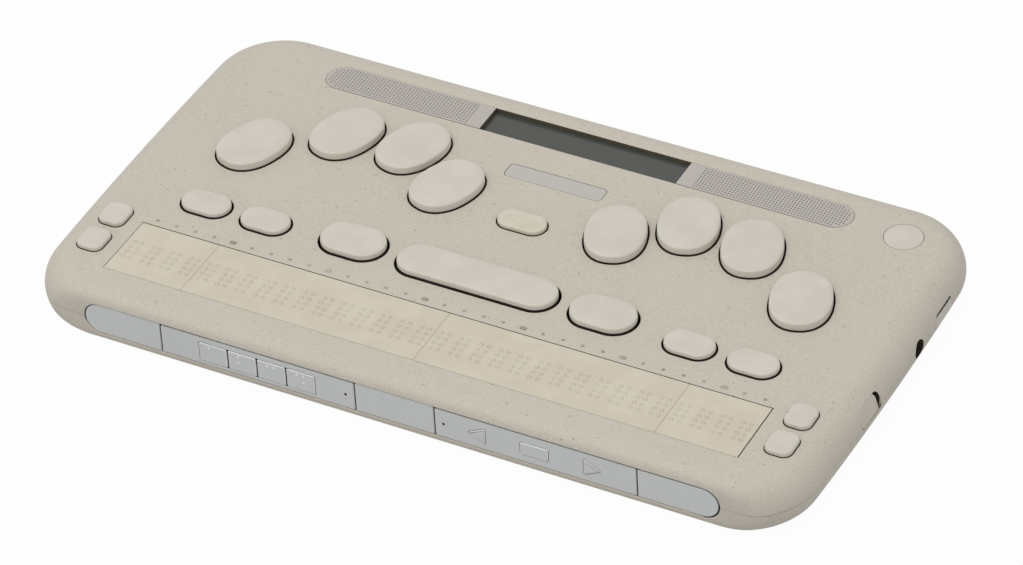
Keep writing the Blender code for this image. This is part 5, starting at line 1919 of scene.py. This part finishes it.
@dataclass
class Ports(Assembly):
    """The USB socket and the headphone jack in the right wall."""

    usb_opening: tuple[float, float] = (10.6 * MM, 4.7 * MM)
    usb_corner: float = 0.7 * MM
    usb_sheet: float = 0.4 * MM
    usb_depth: float = 8.5 * MM
    usb_cavity: float = 6.5 * MM
    insert_gap: float = 0.04 * MM
    insert_slot: float = 0.75 * MM
    insert_sink: float = 0.1 * MM
    insert_edge: float = 0.1 * MM
    jack_radius: float = 2.9 * MM
    jack_drop: float = 0.1 * MM

    def usb_place(self) -> np.ndarray:
        """The middle of the USB opening as (y, z)."""
        return np.array((middle("usb_socket").y,
                         high("usb_socket").z + SEAT_GAP - self.usb_opening[1] / 2))

    def jack_place(self) -> np.ndarray:
        """The middle of the jack's opening as (y, z)."""
        return np.array((middle("audio_jack").y, SEAM - self.jack_drop))

    def build(self, finishes: Finishes) -> list[bpy.types.Object]:
        """Builds the socket's folded shell and its nylon insert, and dresses the jack.

        Args:
            finishes: The notetaker's finishes.

        Returns:
            The new pieces.
        """
        width, height = self.usb_opening
        face = high("usb_socket").x
        outline = rounded_rectangle(width - 2 * SEAT_GAP, height - 2 * SEAT_GAP,
                                    self.usb_corner - SEAT_GAP, steps=5) + self.usb_place()
        section = np.array([(0, face - self.usb_depth), (0, face), (self.usb_sheet, face),
                            (self.usb_sheet, face - self.usb_cavity)])
        shell = settle("usb_socket_shell", solid(outline, section, Facing.RIGHT), "casing",
                       finishes.socket, "socket", "usb_socket")
        # Painted shade: the shell's front rim is black, for the dark gap around the insert
        dress_part(shell, finishes.gap_shade,
                   lambda middles, normals: middles[:, 0] > face - self.usb_sheet)
        tall = height - self.insert_slot - self.insert_gap
        place = self.usb_place()
        outline = rounded_rectangle(width - 2 * self.insert_gap, tall, self.usb_corner,
                                    steps=5)
        outline = outline + place - np.array((0, (self.insert_slot - self.insert_gap) / 2))
        surface = float(Casing().wall_place(*place)) - self.insert_sink
        profile = slab(face, surface, top_round=self.insert_edge, steps=3)
        insert = settle("usb_socket_insert", solid(outline, profile, Facing.RIGHT), "casing",
                        finishes.insert, "socket")
        finishes.jack.dress(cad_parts["audio_jack"])
        return [shell, insert]


@dataclass
class LockSwitch(Assembly):
    """The knob that slides in a slot of the right wall, flush with the wall's curve."""

    slot: tuple[float, float] = (12.4 * MM, 5.8 * MM)
    corner: float = 1.6 * MM
    travel: float = 1.5 * MM
    sink: float = 0.05 * MM
    dish: float = 0.45 * MM
    gap: float = 0.06 * MM
    rear_gap: float = 1.55 * MM
    edge: float = 0.35 * MM
    root: float = 3.2 * MM
    plate_thickness: float = 1.2 * MM
    edge_steps: int = 5
    fill_steps: int = 8

    def slot_place(self) -> np.ndarray:
        """The middle of the slot as (y, z)."""
        return self.knob_place() + np.array((self.travel / 2, 0))

    def knob_place(self) -> np.ndarray:
        """The middle of the knob at rest as (y, z)."""
        return place_of("lock_switch", Facing.RIGHT)

    def knob(self) -> Surface:
        """The knob: a face that follows the wall and is dished for the finger.

        A ring is the outline drawn in by e (1 - cos t) and lowered by e (1 - sin t). The face is
        filled by rings at shares s of the last one, lowered by d (1 - s^2).

        Returns:
            The closed surface.
        """
        length, height = self.slot
        front = self.slot_place()[0] - length / 2 + self.gap
        rear = self.slot_place()[0] + length / 2 - self.rear_gap
        centre = np.array(((front + rear) / 2, self.knob_place()[1]))
        outline = rounded_rectangle(rear - front, height - 2 * self.gap, self.corner - self.gap)
        angle = np.linspace(0, math.pi / 2, self.edge_steps + 1)
        inset = np.concatenate(([0.0], self.edge * (1 - np.cos(angle))))
        depth = np.concatenate(([self.root], self.edge * (1 - np.sin(angle))))
        flat = outline[None] - inset[:, None, None] * outward(outline)[None]
        share = np.linspace(1, 0, self.fill_steps + 1)[1:-1, None, None]
        flat = np.concatenate((flat, flat[-1:] * share)) + centre
        depth = np.concatenate((depth, self.dish * (1 - share.ravel() ** 2)))
        wall = Casing().wall_place(centre[0], flat[..., 1])
        rings = lay(flat, wall - self.sink - depth[:, None], Facing.RIGHT)
        return Surface().closed(rings)

    def build(self, finishes: Finishes) -> list[bpy.types.Object]:
        """Builds the knob with the plate that keeps it behind the wall.

        Args:
            finishes: The notetaker's finishes.

        Returns:
            The new pieces.
        """
        corner_low = low("lock_switch")
        corner_high = high("lock_switch")
        plate = rectangle(corner_high.y - corner_low.y, corner_high.z - corner_low.z)
        plate_face = corner_low.x + self.plate_thickness
        behind = solid(plate + self.knob_place(), slab(corner_low.x, plate_face), Facing.RIGHT)
        piece = settle("lock_switch_knob", self.knob(), "lock_switch", finishes.knob, "key",
                       "lock_switch", tools=[behind], action=Cut.JOIN, flat_faces=False)
        # Painted shade: the plate behind the knob is black, so that the slit behind the knob reads
        # dark
        dress_part(piece, finishes.gap_shade,
                   lambda middles, normals: middles[:, 0] < plate_face + SEAT_GAP)
        return [piece]


@dataclass
class Underside(Assembly):
    """Rubber feet and casing screws."""

    edge: float = 0.4 * MM
    foot_sides: int = 48

    def build(self, finishes: Finishes) -> list[bpy.types.Object]:
        """Builds the feet with rounded edges and dresses the screws.

        Args:
            finishes: The notetaker's finishes.

        Returns:
            The new pieces.
        """
        pieces = []
        for node in FEET:
            outline = circle(radius_of(node), self.foot_sides) + place_of(node)
            profile = slab(low(node).z, high(node).z, bottom_round=self.edge)
            pieces.append(settle(node + "_pad", solid(outline, profile), "casing",
                                 finishes.foot, "foot", node))
        for node in SCREWS:
            finishes.screw.dress(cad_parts[node])
        return pieces


@dataclass
class Inside(Assembly):
    """Boards, battery and speakers, which keep their CAD shapes."""

    def build(self, finishes: Finishes) -> list[bpy.types.Object]:
        """Dresses the inner pieces.

        Args:
            finishes: The notetaker's finishes.

        Returns:
            An empty list, because the CAD shapes stay.
        """
        for node in ("main_board", "key_board", "front_key_board"):
            finishes.board.dress(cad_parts[node])
        finishes.battery.dress(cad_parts["battery_pack"])
        for node in ("speaker_left", "speaker_right"):
            finishes.speaker.dress(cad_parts[node])
        return []


@dataclass
class Studio:
    """Camera, floor, world and lamp."""

    aim: tuple[float, float, float] = (9.78 * MM, -14.39 * MM, 18.9 * MM)
    azimuth: float = math.radians(29.538)
    elevation: float = math.radians(39.083)
    roll: float = math.radians(-3.411)
    distance: float = 1583.4 * MM
    sensor_width: float = 36.0
    focal_length: float = 191.47
    clip: tuple[float, float] = (0.01, 100.0)
    floor_size: float = 12.0
    floor_colour: str = "C4C4C4"
    white_share: float = 0.97
    world_light: float = 0.725
    lamp_power: float = 9.0
    lamp_size: float = 1.6
    lamp_place: tuple[float, float, float] = (-0.3, -0.5, 1.6)

    def camera(self) -> None:
        """Places the camera at the photograph's angle: right, up and back make its axes."""
        ahead = np.array((-math.sin(self.azimuth) * math.cos(self.elevation),
                          math.cos(self.azimuth) * math.cos(self.elevation),
                          -math.sin(self.elevation)))
        level = np.array((math.cos(self.azimuth), math.sin(self.azimuth), 0.0))
        above = np.cross(level, ahead)
        right = level * math.cos(self.roll) + above * math.sin(self.roll)
        up = above * math.cos(self.roll) - level * math.sin(self.roll)
        place = np.array(self.aim) - self.distance * ahead
        data = bpy.data.cameras.new("camera")
        data.sensor_width = self.sensor_width
        data.lens = self.focal_length
        data.clip_start, data.clip_end = self.clip
        camera = bpy.data.objects.new("camera", data)
        bpy.context.scene.collection.objects.link(camera)
        axes = np.eye(4)
        axes[:3] = np.stack((right, up, -ahead, place), axis=1)
        camera.matrix_world = Matrix(axes.tolist())
        bpy.context.scene.camera = camera

    def floor(self) -> None:
        """A plain pale floor: white for the camera, but it still darkens where it is shaded."""
        surface = Surface()
        surface.face(lay(rectangle(self.floor_size, self.floor_size), 0.0, Facing.TOP))
        floor = new_piece("floor", surface)
        made = bpy.data.materials.new("plain_white_floor")
        made.use_nodes = True
        work = NodeWork(made.node_tree)
        matt = work.add("ShaderNodeBsdfDiffuse", {"Color": linear(self.floor_colour)})
        white = work.add("ShaderNodeEmission", {"Color": linear(WHITE), "Strength": 1.0})
        work.paler_in_view(matt["BSDF"], white["Emission"], "Is Glossy Ray", self.white_share,
                           "ShaderNodeOutputMaterial")
        floor.data.materials.append(made)

    def world(self) -> None:
        """An even pale surround: white where the camera sees it, also through a clear piece."""
        world = bpy.data.worlds.new("studio")
        bpy.context.scene.world = world
        world.use_nodes = True
        work = NodeWork(world.node_tree)
        soft, white = (work.add("ShaderNodeBackground", {"Color": linear(WHITE),
                                                         "Strength": strength})["Background"]
                       for strength in (self.world_light, 1.0))
        work.paler_in_view(soft, white, "Is Transmission Ray", 1.0, "ShaderNodeOutputWorld")

    def lamp(self) -> None:
        """One large soft lamp above the front left, which leaves the right wall in shade."""
        data = bpy.data.lights.new("soft_lamp", "AREA")
        data.shape = "DISK"
        data.size = self.lamp_size
        data.energy = self.lamp_power
        lamp = bpy.data.objects.new("soft_lamp", data)
        bpy.context.scene.collection.objects.link(lamp)
        place = Vector(self.lamp_place)
        lamp.location = place
        lamp.rotation_euler = (-place).to_track_quat("-Z", "Y").to_euler()

    def build(self) -> None:
        """Sets the stage."""
        bpy.context.scene.view_settings.view_transform = "Standard"
        self.camera()
        self.floor()
        self.world()
        self.lamp()


def main() -> None:
    """Builds every sub-assembly in order."""
    logging.basicConfig(level=logging.INFO, format="%(message)s")
    finishes = Finishes()
    Studio().build()
    for assembly in (Casing(), Keyboard(), BrailleDisplay(), SpeakerBar(), TopTrim(),
                     FrontStrip(), Ports(), LockSwitch(), Underside(), Inside()):
        for piece in assembly.build(finishes):
            log.info("%s: %s, %d faces", type(assembly).__name__, piece.name,
                     len(piece.data.polygons))


if __name__ == "__main__":
    main()
